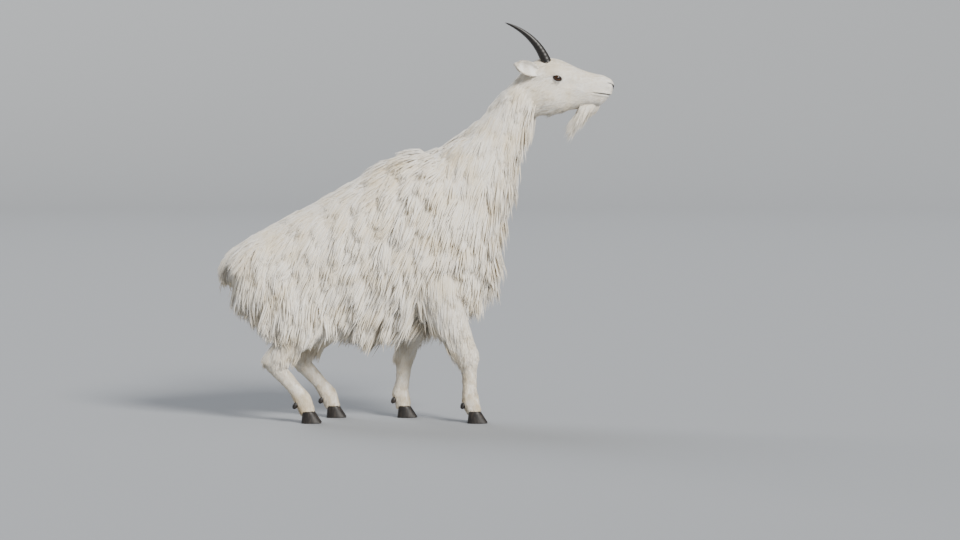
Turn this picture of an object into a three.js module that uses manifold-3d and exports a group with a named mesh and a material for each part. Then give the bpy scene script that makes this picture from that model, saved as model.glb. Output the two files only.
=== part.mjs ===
// A mountain goat at life size, standing with its forehand high and its hindquarters low.
// Millimetres. The goat faces +X, its left side is +Y, and the floor is Z = 0.
// Each part is a closed skin lofted through a few stations. The long coat is made of flat, tapered locks,
// rooted in those skins and laid along the hair, and the parts are then fitted into one another with thin gaps.

import * as THREE from 'three';
import { ParametricGeometry } from 'three/addons/geometries/ParametricGeometry.js';
import { mergeVertices } from 'three/addons/utils/BufferGeometryUtils.js';
import Module from 'manifold-3d';

const wasm = await Module();
wasm.setup();

// Air between neighbouring pieces, and the distance under which two vertices are one.
const GAP = 0.35;
const WELD = 1e-3;

const mix = THREE.MathUtils.lerp;
const UP = new THREE.Vector3(0, 0, 1);
const ACROSS = new THREE.Vector3(0, 1, 0);
const FORWARD = new THREE.Vector3(1, 0, 0);
const LEFT = 1;
const RIGHT = -1;

// The trunk: x and z of a section's middle, then its reach above and below and its half width.
const TRUNK = [
  [-444, 545, 92, 98, 98],
  [-384, 552, 120, 142, 138],
  [-290, 568, 152, 178, 160],
  [-170, 596, 186, 218, 171],
  [-45, 632, 216, 272, 173],
  [80, 668, 246, 308, 167],
  [190, 698, 240, 316, 156],
  [290, 716, 222, 292, 140],
  [372, 722, 172, 244, 117],
  [418, 720, 126, 188, 88],
];
// The neck: x and z of the middle, then its reach behind and in front and its half width.
const NECK = [
  [285, 765, 176, 182, 128],
  [380, 898, 122, 130, 106],
  [449, 1010, 80, 88, 82],
  [509, 1108, 64, 76, 68],
  [560, 1172, 58, 68, 60],
  [594, 1194, 46, 58, 52],
];
const NECK_CUT = { point: [372, 0, 893], normal: [0.53, 0, 0.848] };

// The head, in its own frame: distance from the nape, reach above and below, half width.
const HEAD_AT = new THREE.Vector3(560, 0, 1194);
const HEAD_PITCH = THREE.MathUtils.degToRad(5);
const HEAD_SECTIONS = [
  [0, 64, 76, 48],
  [32, 83, 92, 56],
  [64, 93, 98, 60],
  [98, 92, 95, 60],
  [132, 82, 84, 53],
  [166, 69, 73, 46],
  [200, 59, 63, 41],
  [234, 53, 58, 38],
  [264, 50, 55, 37],
  [288, 42, 46, 33],
];
const MUZZLE = { cap: 16, from: 252, to: 300, nose: 20, top: 6, front: 8, chin: 10, lip: 4.5 };
const EYE = { at: [100, 56, 26], radius: 15.5 };
const LID = { radius: 14.5, tube: 4.2, wide: 1.08, high: 0.74, out: 10 };
const HORN = { foot: [66, 22, 58], radius: 20, thin: 0.86, length: 222, lean: 0.32, curve: 1.05, spread: 20 };
const EAR = {
  root: [34, 50, 42], heading: [-0.7, 0.66, 0.28], open: [0.66, 0.72, 0.12], length: 122, sunk: 16, droop: 14,
  half: 27, outline: [0.42, 0.6, 0.86, 1, 1, 0.9, 0.7, 0.4, 0.08], thick: [4.5, 2.6], curl: [2.3, 1.1], bulb: 0.2,
};
const MOUTH = { height: -17, open: 3, corner: 226 };
const NOSTRIL = { at: [292, 18, 14], size: [11, 5.5, 4.5] };

// The legs: where each joint stands along x, and how far from the middle the feet are set.
const STANCE = 100;
const FORELEGS = {
  right: { side: RIGHT, elbow: 262, knee: 350, fetlock: 358, toe: 388 },
  left: { side: LEFT, elbow: 196, knee: 124, fetlock: 108, toe: 136 },
};
const HINDLEGS = {
  right: { side: RIGHT, hip: -338, stifle: -158, hock: -338, fetlock: -232, toe: -196 },
  left: { side: LEFT, hip: -328, stifle: -104, hock: -262, fetlock: -152, toe: -118 },
};
const KNEE_HEIGHT = 232;
const HOCK_HEIGHT = 214;
const CLAW = { height: 42, front: 42, back: 30, half: 17, apart: 19.5, slope: 27 };
const DEWCLAW = { up: 62, behind: 27, apart: 15, size: [9, 8, 13] };

const COLOURS = {
  coat: 0xf1ece0,
  horn: 0x26211f,
  hoof: 0x2d2826,
  eye: 0x2b1c12,
};

// A row of a station table at a share of its length, by a cubic through the rows.
function station(rows, share) {
  const last = rows.length - 1;
  const place = THREE.MathUtils.clamp(share, 0, 1) * last;
  const k = Math.min(Math.floor(place), last - 1);
  const f = place - k;
  const row = (i) => rows[THREE.MathUtils.clamp(i, 0, last)];
  return rows[0].map((_, c) => {
    const [before, from, to, after] = [k - 1, k, k + 1, k + 2].map((i) => row(i)[c]);
    const [leaving, arriving] = [(to - before) / 2, (after - from) / 2];
    return (2 * f ** 3 - 3 * f ** 2 + 1) * from + (f ** 3 - 2 * f ** 2 + f) * leaving
      + (3 * f ** 2 - 2 * f ** 3) * to + (f ** 3 - f ** 2) * arriving;
  });
}

// A closed solid from a geometry: seams and poles welded, empty triangles dropped, faces turned outwards.
function solid(geometry) {
  const bare = geometry.clone();
  bare.deleteAttribute('normal');
  bare.deleteAttribute('uv');
  const welded = mergeVertices(bare, WELD);
  const corner = (i) => new THREE.Vector3().fromBufferAttribute(welded.attributes.position, i);
  const faces = [];
  let volume = 0;
  for (let i = 0; i < welded.index.count; i += 3) {
    const [a, b, c] = [0, 1, 2].map((k) => welded.index.getX(i + k));
    if (a !== b && b !== c && c !== a) {
      faces.push([a, b, c]);
      volume += corner(a).dot(corner(b).cross(corner(c)));
    }
  }
  const triVerts = Uint32Array.from((volume > 0 ? faces : faces.map((f) => [...f].reverse())).flat());
  const vertProperties = Float32Array.from(welded.attributes.position.array);
  return new wasm.Manifold(new wasm.Mesh({ numProp: 3, vertProperties, triVerts }));
}

function geometryOf(body) {
  const { vertProperties, triVerts } = body.getMesh();
  const geometry = new THREE.BufferGeometry();
  geometry.setAttribute('position', new THREE.BufferAttribute(vertProperties, 3));
  geometry.setIndex(new THREE.BufferAttribute(triVerts, 1));
  return geometry;
}

const union = (bodies) => wasm.Manifold.union(bodies);
const cut = (body, tools) => tools.reduce((rest, tool) => rest.subtract(tool), body);
const largest = (body) => body.decompose().reduce((a, b) => (a.volume() > b.volume() ? a : b));

// A surface of rings: ring k is a function from an angle to a point, and the end rings are single points.
function ringed(rings, sides) {
  const at = (u, v, target) => target.copy(rings[Math.round(v * (rings.length - 1))](u * 2 * Math.PI));
  return new ParametricGeometry(at, sides, rings.length - 1);
}

// A cosine or sine bent towards a box's section: power 1 is an ellipse, smaller is squarer.
const bent = (value, power) => Math.sign(value) * Math.abs(value) ** power;

// A skin along a path. Rows are x, y, z, reach over, reach under, half width. Sections stand across the path,
// or upright where asked. The ends are domes of the given depths, or flat.
class Skin {
  constructor(rows, { rings, sides, domes = [0, 0], upright = false, power = 1 }) {
    Object.assign(this, { rows, rings, sides, domes, upright, power });
  }

  frame(share) {
    const [x, y, z, over, under, half] = station(this.rows, share);
    const step = 0.01;
    const [a, b] = [share - step, share + step].map((s) => station(this.rows, THREE.MathUtils.clamp(s, 0, 1)));
    const along = this.upright ? FORWARD.clone() : new THREE.Vector3(b[0] - a[0], b[1] - a[1], b[2] - a[2]).normalize();
    const up = along.clone().cross(ACROSS).normalize();
    const side = up.clone().cross(along);
    return { centre: new THREE.Vector3(x, y, z), along, up, side, over, under, half };
  }

  ring(share, grow, push = 0, scale = 1) {
    const { centre, along, up, side, over, under, half } = this.frame(share);
    return (angle) => {
      const [c, s] = [bent(Math.cos(angle), this.power), bent(Math.sin(angle), this.power)];
      const reach = (s > 0 ? over : under) + grow;
      return centre.clone().addScaledVector(along, push)
        .addScaledVector(side, c * (half + grow) * scale).addScaledVector(up, s * reach * scale);
    };
  }

  dome(share, depth, grow) {
    const [way, reach] = [share ? 1 : -1, depth + grow];
    const turns = depth ? [Math.PI / 6, Math.PI / 3, Math.PI / 2] : [Math.PI / 2];
    return turns.map((turn) => this.ring(share, grow, way * reach * Math.sin(turn), Math.cos(turn)));
  }

  geometry(grow = 0) {
    const middle = Array.from({ length: this.rings }, (_, i) => {
      const share = i / (this.rings - 1);
      const end = i === 0 ? -grow : i === this.rings - 1 ? grow : 0;
      return this.ring(share, grow, this.domes[share ? 1 : 0] ? 0 : end);
    });
    const [front, back] = [0, 1].map((share) => this.dome(share, this.domes[share], grow));
    return ringed([...front.reverse(), ...middle, ...back], this.sides);
  }

  solid(grow = 0) {
    return solid(this.geometry(grow));
  }
}

// Seeded noise, so that every lock is the same each time.
let seed = 22;
function random(low, high) {
  seed = (seed * 1664525 + 1013904223) % 4294967296;
  return low + (high - low) * (seed / 4294967296);
}

// A lock of hair: a flat ribbon with a ridge down its outer face. It leaves its root along the lie, lifted a
// little off the skin, sinks back under its weight, and narrows to a point.
const LOCK_RINGS = [[0, 0.8], [0.38, 1], [0.74, 0.62]];
const LOCK_DROP = 0.4;
const LOCK_ROOT = 23;
function lock({ root, normal, way, length, width, thick, lift, sag, sway, sunk }, grow = 0) {
  const heading = way.clone().addScaledVector(normal, lift).normalize();
  const swing = heading.clone().cross(normal).normalize();
  const at = root.clone().addScaledVector(normal, -sunk).addScaledVector(heading, -sunk);
  const path = LOCK_RINGS.map(([share, size], i) => {
    if (i) {
      const step = (share - LOCK_RINGS[i - 1][0]) * length;
      heading.addScaledVector(UP, -sag * step / length).addScaledVector(swing, sway * step / length).normalize();
      at.addScaledVector(heading, step);
    }
    const flat = heading.clone().cross(normal).normalize();
    const out = flat.clone().cross(heading).normalize();
    const [half, raise, drop] = [size * width / 2, size * thick, size * thick * LOCK_DROP];
    const slant = Math.hypot(half, raise + drop);
    return {
      at: at.clone().addScaledVector(heading, i ? 0 : -grow), flat, out,
      half: half + grow * (slant + half) / (raise + drop), raise: raise + grow * slant / half, drop: drop + grow,
    };
  });
  const [lastShare, lastSize] = LOCK_RINGS.at(-1);
  const tip = at.clone().addScaledVector(heading, (1 - lastShare) * length * (1 + grow / (lastSize * thick * LOCK_DROP)));
  const ring = ({ at: centre, flat, out, half, raise, drop }) => (angle) => {
    const [across, rise] = [[half, -drop], [-half, -drop], [0, raise]][Math.round(angle / (2 * Math.PI / 3)) % 3];
    return centre.clone().addScaledVector(flat, across).addScaledVector(out, rise);
  };
  return solid(ringed([() => path[0].at, ...path.map(ring), () => tip], 3));
}

// Finds where a ray from outside first meets a body, and the face's normal there. Where the ray meets the cover
// first, there is no root.
const FAR = 900;
function prober(body, cover = null) {
  const mesh = new THREE.Mesh(geometryOf(body), new THREE.MeshBasicMaterial());
  const hiding = cover && new THREE.Mesh(geometryOf(cover), new THREE.MeshBasicMaterial());
  const ray = new THREE.Raycaster();
  return (centre, outward) => {
    ray.set(centre.clone().addScaledVector(outward, FAR), outward.clone().negate());
    const [hit] = ray.intersectObject(mesh);
    const [over] = hiding ? ray.intersectObject(hiding) : [];
    const bare = hit && hit.distance < FAR && !(over && over.distance < hit.distance + LOCK_ROOT);
    return bare ? { root: hit.point, normal: hit.face.normal.clone() } : null;
  };
}

// A lock's data at a probed root, laid along the part of `lie` that runs in the skin there.
function laid(found, lie, length, width, { thick = 7, lift = 0.3, sag = 0.35, sunk = LOCK_ROOT } = {}) {
  if (!found) return [];
  const way = lie.clone().addScaledVector(found.normal, -lie.dot(found.normal)).normalize();
  const size = random(0.86, 1.14);
  return [{
    ...found, way, length: length * size, width: width * random(0.88, 1.12), thick, sunk,
    lift: lift + random(-0.04, 0.06), sag: sag + random(-0.1, 0.1), sway: random(-0.3, 0.3),
  }];
}

// The trunk's coat: tiers of locks from the rump forward, long at the withers and under the belly.
const TRUNK_TIERS = 7;
const TRUNK_ROUND = 10;
const TRUNK_LIE = new THREE.Vector3(-0.66, 0, -0.75);
function trunkCoat(trunk, probe) {
  const locks = [];
  for (let tier = 0; tier < TRUNK_TIERS; tier += 1) {
    const share = 0.05 + 0.86 * tier / (TRUNK_TIERS - 1);
    const { centre } = trunk.frame(share);
    for (let k = 0; k < TRUNK_ROUND; k += 1) {
      const angle = 2 * Math.PI * (k + 0.5 * (tier % 2)) / TRUNK_ROUND + random(-0.06, 0.06);
      const outward = new THREE.Vector3(0, Math.cos(angle), Math.sin(angle));
      const found = probe(centre.clone().addScaledVector(FORWARD, random(-14, 14)), outward);
      const ridge = Math.max(0, Math.sin(angle) - 0.75) * 4 * THREE.MathUtils.smoothstep(share, 0.5, 0.8);
      const fringe = Math.max(0, -Math.sin(angle) - 0.35) * 1.5;
      const length = mix(150, 195, THREE.MathUtils.smoothstep(share, 0.05, 0.35));
      const set = { lift: 0.34 + 0.3 * ridge + 1.1 * fringe, sag: 0.3 + 0.5 * fringe };
      locks.push(...laid(found, TRUNK_LIE, length, 108, set));
    }
  }
  return locks;
}

// The chest's ruff and the rump: locks met from the front and from behind, hanging down.
function endCoat(probe, x, outward, heights, reach, lengths) {
  const down = new THREE.Vector3(0, 0, -1);
  return heights.flatMap((z, tier) => {
    const count = 3 + (tier % 2);
    return Array.from({ length: count }, (_, k) => {
      const y = reach * (2 * (k + 0.5) / count - 1) + random(-6, 6);
      return laid(probe(new THREE.Vector3(x, y, z), outward), down, lengths, 90, { sag: 0.5 });
    }).flat();
  });
}

const NECK_TIERS = 4;
const NECK_ROUND = 8;
function neckCoat(neck, probe) {
  const lie = new THREE.Vector3(-0.42, 0, -0.9);
  const locks = [];
  for (let tier = 0; tier < NECK_TIERS; tier += 1) {
    const share = 0.2 + 0.66 * tier / (NECK_TIERS - 1);
    const { centre, up, side } = neck.frame(share);
    for (let k = 0; k < NECK_ROUND; k += 1) {
      const angle = 2 * Math.PI * (k + 0.5 * (tier % 2)) / NECK_ROUND;
      const outward = side.clone().multiplyScalar(Math.cos(angle)).addScaledVector(up, Math.sin(angle));
      const nape = Math.max(0, Math.sin(angle) - 0.6) * 2.5;
      locks.push(...laid(probe(centre, outward), lie, 158 + 14 * nape, 84, { lift: 0.3 + 0.25 * nape, sag: 0.35 }));
    }
  }
  return locks;
}

const material = (colour, roughness) => new THREE.MeshStandardMaterial({ color: colour, roughness, metalness: 0 });
const COAT = material(COLOURS.coat, 0.9);
const HORN_SKIN = material(COLOURS.horn, 0.5);
const HOOF_SKIN = material(COLOURS.hoof, 0.55);
const EYE_SKIN = material(COLOURS.eye, 0.1);

const goat = new THREE.Group();
const headFrame = new THREE.Group();
headFrame.position.copy(HEAD_AT);
headFrame.rotation.y = HEAD_PITCH;
headFrame.updateMatrix();
goat.add(headFrame);

function show(name, body, skin, parent = goat) {
  const mesh = new THREE.Mesh(geometryOf(largest(body)), skin);
  mesh.name = name;
  parent.add(mesh);
}

// Head-frame pieces.
const mirrored = ([x, y, z], side) => new THREE.Vector3(x, y * side, z);

function eyeball(side, grow = 0) {
  const ball = new THREE.SphereGeometry(EYE.radius + grow, 10, 8);
  ball.translate(...mirrored(EYE.at, side));
  return solid(ball);
}

function lids(side) {
  const rim = new THREE.TorusGeometry(LID.radius, LID.tube, 4, 12);
  rim.scale(LID.wide, LID.high, 1);
  rim.rotateX(Math.PI / 2);
  rim.translate(...mirrored([EYE.at[0], EYE.at[1] + LID.out, EYE.at[2]], side));
  return solid(rim);
}

// A horn: a slender cone swept back in an arc, ringed by low ridges towards its base.
const HORN_STEPS = 13;
function horn(side, grow = 0) {
  const rings = Array.from({ length: HORN_STEPS + 1 }, (_, i) => {
    const share = i / HORN_STEPS;
    const bend = HORN.lean + HORN.curve * share;
    const chord = HORN.lean + HORN.curve * share / 2;
    const at = new THREE.Vector3(
      HORN.foot[0] - HORN.length * share * Math.sin(chord),
      side * (HORN.foot[1] + HORN.spread * share ** 1.4),
      HORN.foot[2] + HORN.length * share * Math.cos(chord),
    );
    const heading = new THREE.Vector3(-Math.sin(bend), side * 0.1, Math.cos(bend)).normalize();
    const out = ACROSS.clone().addScaledVector(heading, -heading.y).normalize();
    const fore = out.clone().cross(heading).normalize();
    const ridge = share < 0.5 && i % 2 ? 1.05 : 1;
    const radius = share < 1 ? HORN.radius * (1 - share) ** 0.8 * ridge + grow : 0;
    const push = share ? (share < 1 ? 0 : grow) : -grow;
    return (angle) => at.clone().addScaledVector(heading, push)
      .addScaledVector(out, Math.cos(angle) * radius * HORN.thin).addScaledVector(fore, Math.sin(angle) * radius);
  });
  const foot = rings[0](0).add(rings[0](Math.PI)).multiplyScalar(0.5);
  return solid(ringed([() => foot, ...rings], 8));
}

// An ear: a leaf rolled into a cup that opens forward and outward, filled in towards its root.
function ear(side, grow = 0) {
  const heading = new THREE.Vector3(...EAR.heading).normalize();
  const open = new THREE.Vector3(...EAR.open);
  open.addScaledVector(heading, -open.dot(heading)).normalize();
  const flat = heading.clone().cross(open).normalize();
  const steps = EAR.outline.length - 1;
  const loops = EAR.outline.map((size, i) => {
    const share = i / steps;
    const centre = new THREE.Vector3(...EAR.root)
      .addScaledVector(heading, mix(-EAR.sunk, EAR.length, share)).addScaledVector(UP, -EAR.droop * share ** 2);
    const half = EAR.half * size;
    const curl = mix(...EAR.curl, share);
    const thick = mix(...EAR.thick, share) + 2 * grow;
    const radius = 0.9 * half / Math.sin(Math.min(curl / 2, Math.PI / 2));
    const fill = 0.75 * Math.max(0, 1 - share / EAR.bulb);
    const edge = [-1, -0.6, -0.2, 0.2, 0.6, 1];
    const wall = (across, r) => {
      const turn = across * (curl / 2) * (1 + grow / half);
      return centre.clone().addScaledVector(flat, Math.sin(turn) * r)
        .addScaledVector(open, radius / 2 - Math.cos(turn) * r);
    };
    return [...edge.map((across) => wall(across, radius + thick / 2)),
      ...edge.toReversed().map((across) => wall(across, (radius - thick / 2) * (1 - fill)))];
  });
  const count = loops[0].length;
  const middle = (loop) => loop.reduce((sum, p) => sum.add(p), new THREE.Vector3()).multiplyScalar(1 / count);
  const rings = loops.map((loop) => (angle) => loop[Math.round(angle / (2 * Math.PI) * count) % count].clone());
  const geometry = ringed([() => middle(loops[0]), ...rings, () => middle(loops.at(-1))], count);
  if (side === RIGHT) geometry.scale(1, -1, 1);
  return solid(geometry);
}

// A soft bump on the head's side, centred at x and z, that dies away over the given lengths.
const BUMPS = [
  { at: [102, 31], spread: [24, 17], height: 9 },
  { at: [146, 12], spread: [22, 16], height: -5 },
  { at: [70, -44], spread: [40, 30], height: 6 },
  { at: [156, -32], spread: [30, 16], height: -3 },
  { at: [286, 15], spread: [12, 10], height: 4 },
  { at: [262, -14], spread: [30, 8], height: 2 },
];
const headSkin = new Skin(HEAD_SECTIONS.map(([x, above, below, half]) => [x, 0, 0, above, below, half]),
  { rings: 19, sides: 22, domes: [26, MUZZLE.cap], upright: true, power: 0.88 });

// How far the muzzle's end is drawn back: over the nose as the square of the height, under it in step with the depth
// down to the upper lip, then the lower lip a few millimetres more, and the chin in step with its own depth.
function drawnBack(x, z) {
  const high = Math.max(z - MUZZLE.nose, 0) / 22;
  const front = THREE.MathUtils.clamp((MUZZLE.nose - z) / 36, 0, 1);
  const low = Math.max(-z - 16, 0) / 28;
  const lip = THREE.MathUtils.smoothstep(-z, 14, 18);
  return (MUZZLE.top * high ** 2 + MUZZLE.front * front + MUZZLE.chin * low + MUZZLE.lip * lip)
    * THREE.MathUtils.smoothstep(x, MUZZLE.from, MUZZLE.to);
}

function skull(grow = 0) {
  const geometry = headSkin.geometry(grow);
  const place = geometry.attributes.position;
  for (let i = 0; i < place.count; i += 1) {
    const [x, y, z] = [place.getX(i), place.getY(i), place.getZ(i)];
    const out = BUMPS.reduce((sum, { at, spread, height }) => (
      sum + height * Math.exp(-(((x - at[0]) / spread[0]) ** 2) - ((z - at[1]) / spread[1]) ** 2)), 0);
    place.setXYZ(i, x - drawnBack(x, z), y + out * THREE.MathUtils.clamp(y / 20, -1, 1), z);
  }
  return solid(geometry);
}

// The line of the mouth: a thin plate cut into the muzzle from its front and sides, shallow at the corners.
function mouth() {
  const inner = [[MOUTH.corner, 40], [MOUTH.corner + 18, 27], [268, 23], [289, 15], [294, 0]];
  const outline = new THREE.Shape();
  const beyond = 330;
  outline.moveTo(MOUTH.corner, 60);
  for (const [x, y] of inner) outline.lineTo(x, y);
  for (const [x, y] of inner.slice(0, -1).reverse()) outline.lineTo(x, -y);
  outline.lineTo(MOUTH.corner, -60);
  outline.lineTo(beyond, -60);
  outline.lineTo(beyond, 60);
  const plate = new THREE.ExtrudeGeometry(outline, { depth: MOUTH.open, bevelEnabled: false });
  plate.translate(0, 0, MOUTH.height);
  return solid(plate);
}

function nostril(side) {
  const hole = new THREE.SphereGeometry(1, 10, 6);
  hole.scale(...NOSTRIL.size);
  hole.rotateY(0.5);
  hole.rotateZ(side * 0.55);
  hole.translate(...mirrored(NOSTRIL.at, side));
  return solid(hole);
}

const BEARD_ROOTS = [[216, 0], [226, 12], [227, -12], [240, 2], [252, -2]];
function beard(grow = 0) {
  const probe = prober(headSkin.solid());
  const down = new THREE.Vector3(0, 0, -1);
  const lie = new THREE.Vector3(-0.5, 0, -0.2);
  return BEARD_ROOTS.flatMap(([x, y]) => laid(probe(new THREE.Vector3(x, y, 0), down), lie, 94, 42,
    { thick: 8, lift: 1.7, sag: 0.9, sunk: 8 })).map((spec) => lock(spec, grow));
}

// A claw of a hoof: a flat sole on the floor, a sloping front wall, and a flatter wall towards its neighbour.
function claw(x, y, inward, grow = 0) {
  const rings = [0, 0.2, 0.62, 1].map((rise, i) => (angle) => {
    const [c, s] = [bent(Math.cos(angle), 0.85), bent(Math.sin(angle), 0.85)];
    const reach = c > 0 ? CLAW.front - CLAW.slope * rise : CLAW.back - 5 * rise;
    const wall = CLAW.half * (1 - 0.16 * rise) * (s * inward > 0 ? 0.84 : 1) * (1 - 0.3 * Math.max(c, 0) ** 2);
    return new THREE.Vector3(x + c * (reach + grow), y + s * (wall + grow), CLAW.height * rise + (i === 3 ? grow : 0));
  });
  const [floor, top] = [rings[0], rings[3]].map((ring) => ring(0).add(ring(Math.PI)).multiplyScalar(0.5));
  return solid(ringed([() => floor, ...rings, () => top], 8));
}

function dewclaw(x, y, grow = 0) {
  const bud = new THREE.SphereGeometry(1, 6, 4);
  bud.rotateX(Math.PI / 2);
  bud.scale(...DEWCLAW.size.map((size) => size + grow));
  bud.rotateY(0.5);
  bud.translate(x, y, DEWCLAW.up);
  return solid(bud);
}

// Cannon, fetlock and pastern, the same in front and behind: height, reach in front, behind, half width.
const CANNON = [[152, 25, 27, 23], [114, 24, 27, 23], [84, 29, 34, 30], [56, 25, 28, 29], [33, 27, 30, 33]];

function cannonRows(y, from, fetlock, foot) {
  const places = [mix(from, fetlock, 0.5), mix(from, fetlock, 0.8), fetlock, mix(fetlock, foot, 0.5), foot - 6];
  return CANNON.map(([z, ...reach], i) => [places[i], y, z, ...reach]);
}

function foreleg({ side, elbow, knee, fetlock, toe }) {
  const y = side * STANCE;
  const rows = [
    [elbow - 6, side * 112, 500, 78, 84, 46],
    [mix(elbow, knee, 0.12), side * 112, 425, 66, 70, 46],
    [mix(elbow, knee, 0.45), side * 108, 345, 50, 50, 39],
    [mix(elbow, knee, 0.8), side * 103, 278, 37, 35, 33],
    [knee, y, KNEE_HEIGHT, 38, 34, 36],
    [mix(knee, fetlock, 0.25), y, 192, 28, 28, 26],
    ...cannonRows(y, knee, fetlock, toe - 12),
  ];
  return new Skin(rows, { rings: 14, sides: 10, domes: [20, 0], power: 0.95 });
}

function hindleg({ side, hip, stifle, hock, fetlock, toe }) {
  const y = side * STANCE;
  const thigh = [
    [hip - 62, side * 92, 610, 84, 84, 46],
    [hip, side * 102, 522, 110, 122, 72],
    [mix(hip, stifle, 0.55), side * 107, 448, 92, 104, 69],
    [stifle, side * 109, 398, 62, 64, 56],
  ];
  const gaskin = [
    [stifle, side * 109, 400, 58, 60, 50],
    [mix(stifle, hock, 0.35), side * 107, 342, 60, 64, 46],
    [mix(stifle, hock, 0.72), side * 104, 272, 41, 43, 34],
    [hock, y, HOCK_HEIGHT, 31, 40, 31],
  ];
  const cannon = [
    [hock - 6, y, HOCK_HEIGHT + 14, 29, 34, 29],
    [mix(hock, fetlock, 0.2), y, 190, 27, 31, 26],
    ...cannonRows(y, hock, fetlock, toe - 12),
  ];
  return [
    new Skin(thigh, { rings: 6, sides: 14, domes: [30, 30], power: 0.95 }),
    new Skin(gaskin, { rings: 6, sides: 10, domes: [20, 10] }),
    new Skin(cannon, { rings: 9, sides: 10, domes: [14, 0], power: 0.95 }),
  ];
}

// The long hair of an upper leg: tiers of locks round its outer side and back.
function legCoat(skin, side, shares, { round, length, width }) {
  const probe = prober(skin.solid());
  const lie = new THREE.Vector3(-0.3, 0, -0.95);
  const arc = 1.26 * Math.PI;
  return shares.flatMap((share, tier) => {
    const { centre } = skin.frame(share);
    return Array.from({ length: round }, (_, k) => {
      const angle = arc * (k + 0.5 * (tier % 2)) / round;
      const outward = new THREE.Vector3(Math.cos(angle), side * Math.sin(angle), -0.1).normalize();
      return laid(probe(centre, outward), lie, length, width, { lift: 0.32, sag: 0.4 });
    }).flat();
  });
}

const cutBelow = (body, point, normal, side) => {
  const way = new THREE.Vector3(...normal).normalize();
  const offset = way.dot(new THREE.Vector3(...point));
  return side > 0 ? body.trimByPlane(way.toArray(), offset + GAP / 2)
    : body.trimByPlane(way.clone().negate().toArray(), -(offset - GAP / 2));
};

// A leg: its claws, then its skins from the foot up, each cut clear of the one below, with the coat on the last
// ones. It gives back the grown leg that its neighbours are cut clear of.
function buildLeg(end, name, plan, parts) {
  const foot = plan.toe - 12;
  const y = plan.side * STANCE;
  const horny = [['inner', -plan.side], ['outer', plan.side]].flatMap(([which, way]) => {
    const claws = (grow) => claw(foot, y + way * CLAW.apart, -way, grow);
    const buds = (grow) => dewclaw(plan.fetlock - DEWCLAW.behind, y + way * DEWCLAW.apart, grow);
    show(`claw_${end}_${name}_${which}`, claws(0), HOOF_SKIN);
    show(`dewclaw_${end}_${name}_${which}`, buds(0), HOOF_SKIN);
    return [claws(GAP), buds(GAP)];
  });
  const grown = [...horny];
  for (const { part, body, coat } of parts) {
    const hair = (grow) => coat.map((spec) => lock(spec, grow));
    show(`${part}_${name}`, cut(union([body(0), ...hair(0)]), grown), COAT);
    grown.push(union([body(GAP), ...hair(GAP)]));
  }
  return grown;
}

for (const [name, side] of [['right', RIGHT], ['left', LEFT]]) {
  show(`eye_${name}`, eyeball(side), EYE_SKIN, headFrame);
  show(`horn_${name}`, horn(side), HORN_SKIN, headFrame);
  show(`ear_${name}`, ear(side), COAT, headFrame);
}
const both = (maker) => [maker(LEFT), maker(RIGHT)];
const crown = [...both((side) => horn(side, GAP)), ...both((side) => ear(side, GAP))];
const face = cut(union([skull(), ...both(lids), ...beard()]),
  [...crown, ...both((side) => eyeball(side, GAP)), mouth(), ...both(nostril)]);
show('head', face, COAT, headFrame);

const grownLegs = [];
for (const [name, plan] of Object.entries(FORELEGS)) {
  const skin = foreleg(plan);
  const knee = { point: [plan.knee, 0, KNEE_HEIGHT - 22], normal: [0, 0, -1] };
  const coat = legCoat(skin, plan.side, [0.18], { round: 5, length: 150, width: 68 });
  grownLegs.push(...buildLeg('foreleg', name, plan, [
    { part: 'lower_foreleg', body: (grow) => cutBelow(skin.solid(grow), knee.point, knee.normal, 1), coat: [] },
    { part: 'upper_foreleg', body: (grow) => cutBelow(skin.solid(grow), knee.point, knee.normal, -1), coat },
  ]));
}
for (const [name, plan] of Object.entries(HINDLEGS)) {
  const [thigh, shank, cannon] = hindleg(plan);
  const hock = { point: [plan.hock + 12, 0, HOCK_HEIGHT - 22], normal: [plan.fetlock - plan.hock, 0, 84 - HOCK_HEIGHT] };
  const thighCoat = legCoat(thigh, plan.side, [0.25, 0.55, 0.85], { round: 4, length: 160, width: 88 });
  const shankCoat = legCoat(shank, plan.side, [0.45], { round: 4, length: 150, width: 68 });
  grownLegs.push(...buildLeg('hindleg', name, plan, [
    { part: 'lower_hindleg', body: (grow) => cutBelow(cannon.solid(grow), hock.point, hock.normal, 1), coat: [] },
    { part: 'shank', coat: shankCoat,
      body: (grow) => union([cutBelow(cannon.solid(grow), hock.point, hock.normal, -1), shank.solid(grow)]) },
    { part: 'thigh', body: (grow) => thigh.solid(grow), coat: thighCoat },
  ]));
}

const trunk = new Skin(TRUNK.map(([x, z, above, below, half]) => [x, 0, z, above, below, half]),
  { rings: 14, sides: 20, domes: [26, 22], upright: true, power: 0.92 });
const neck = new Skin(NECK.map(([x, z, behind, before, half]) => [x, 0, z, behind, before, half]),
  { rings: 9, sides: 16, domes: [0, 12], power: 0.95 });

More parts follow.
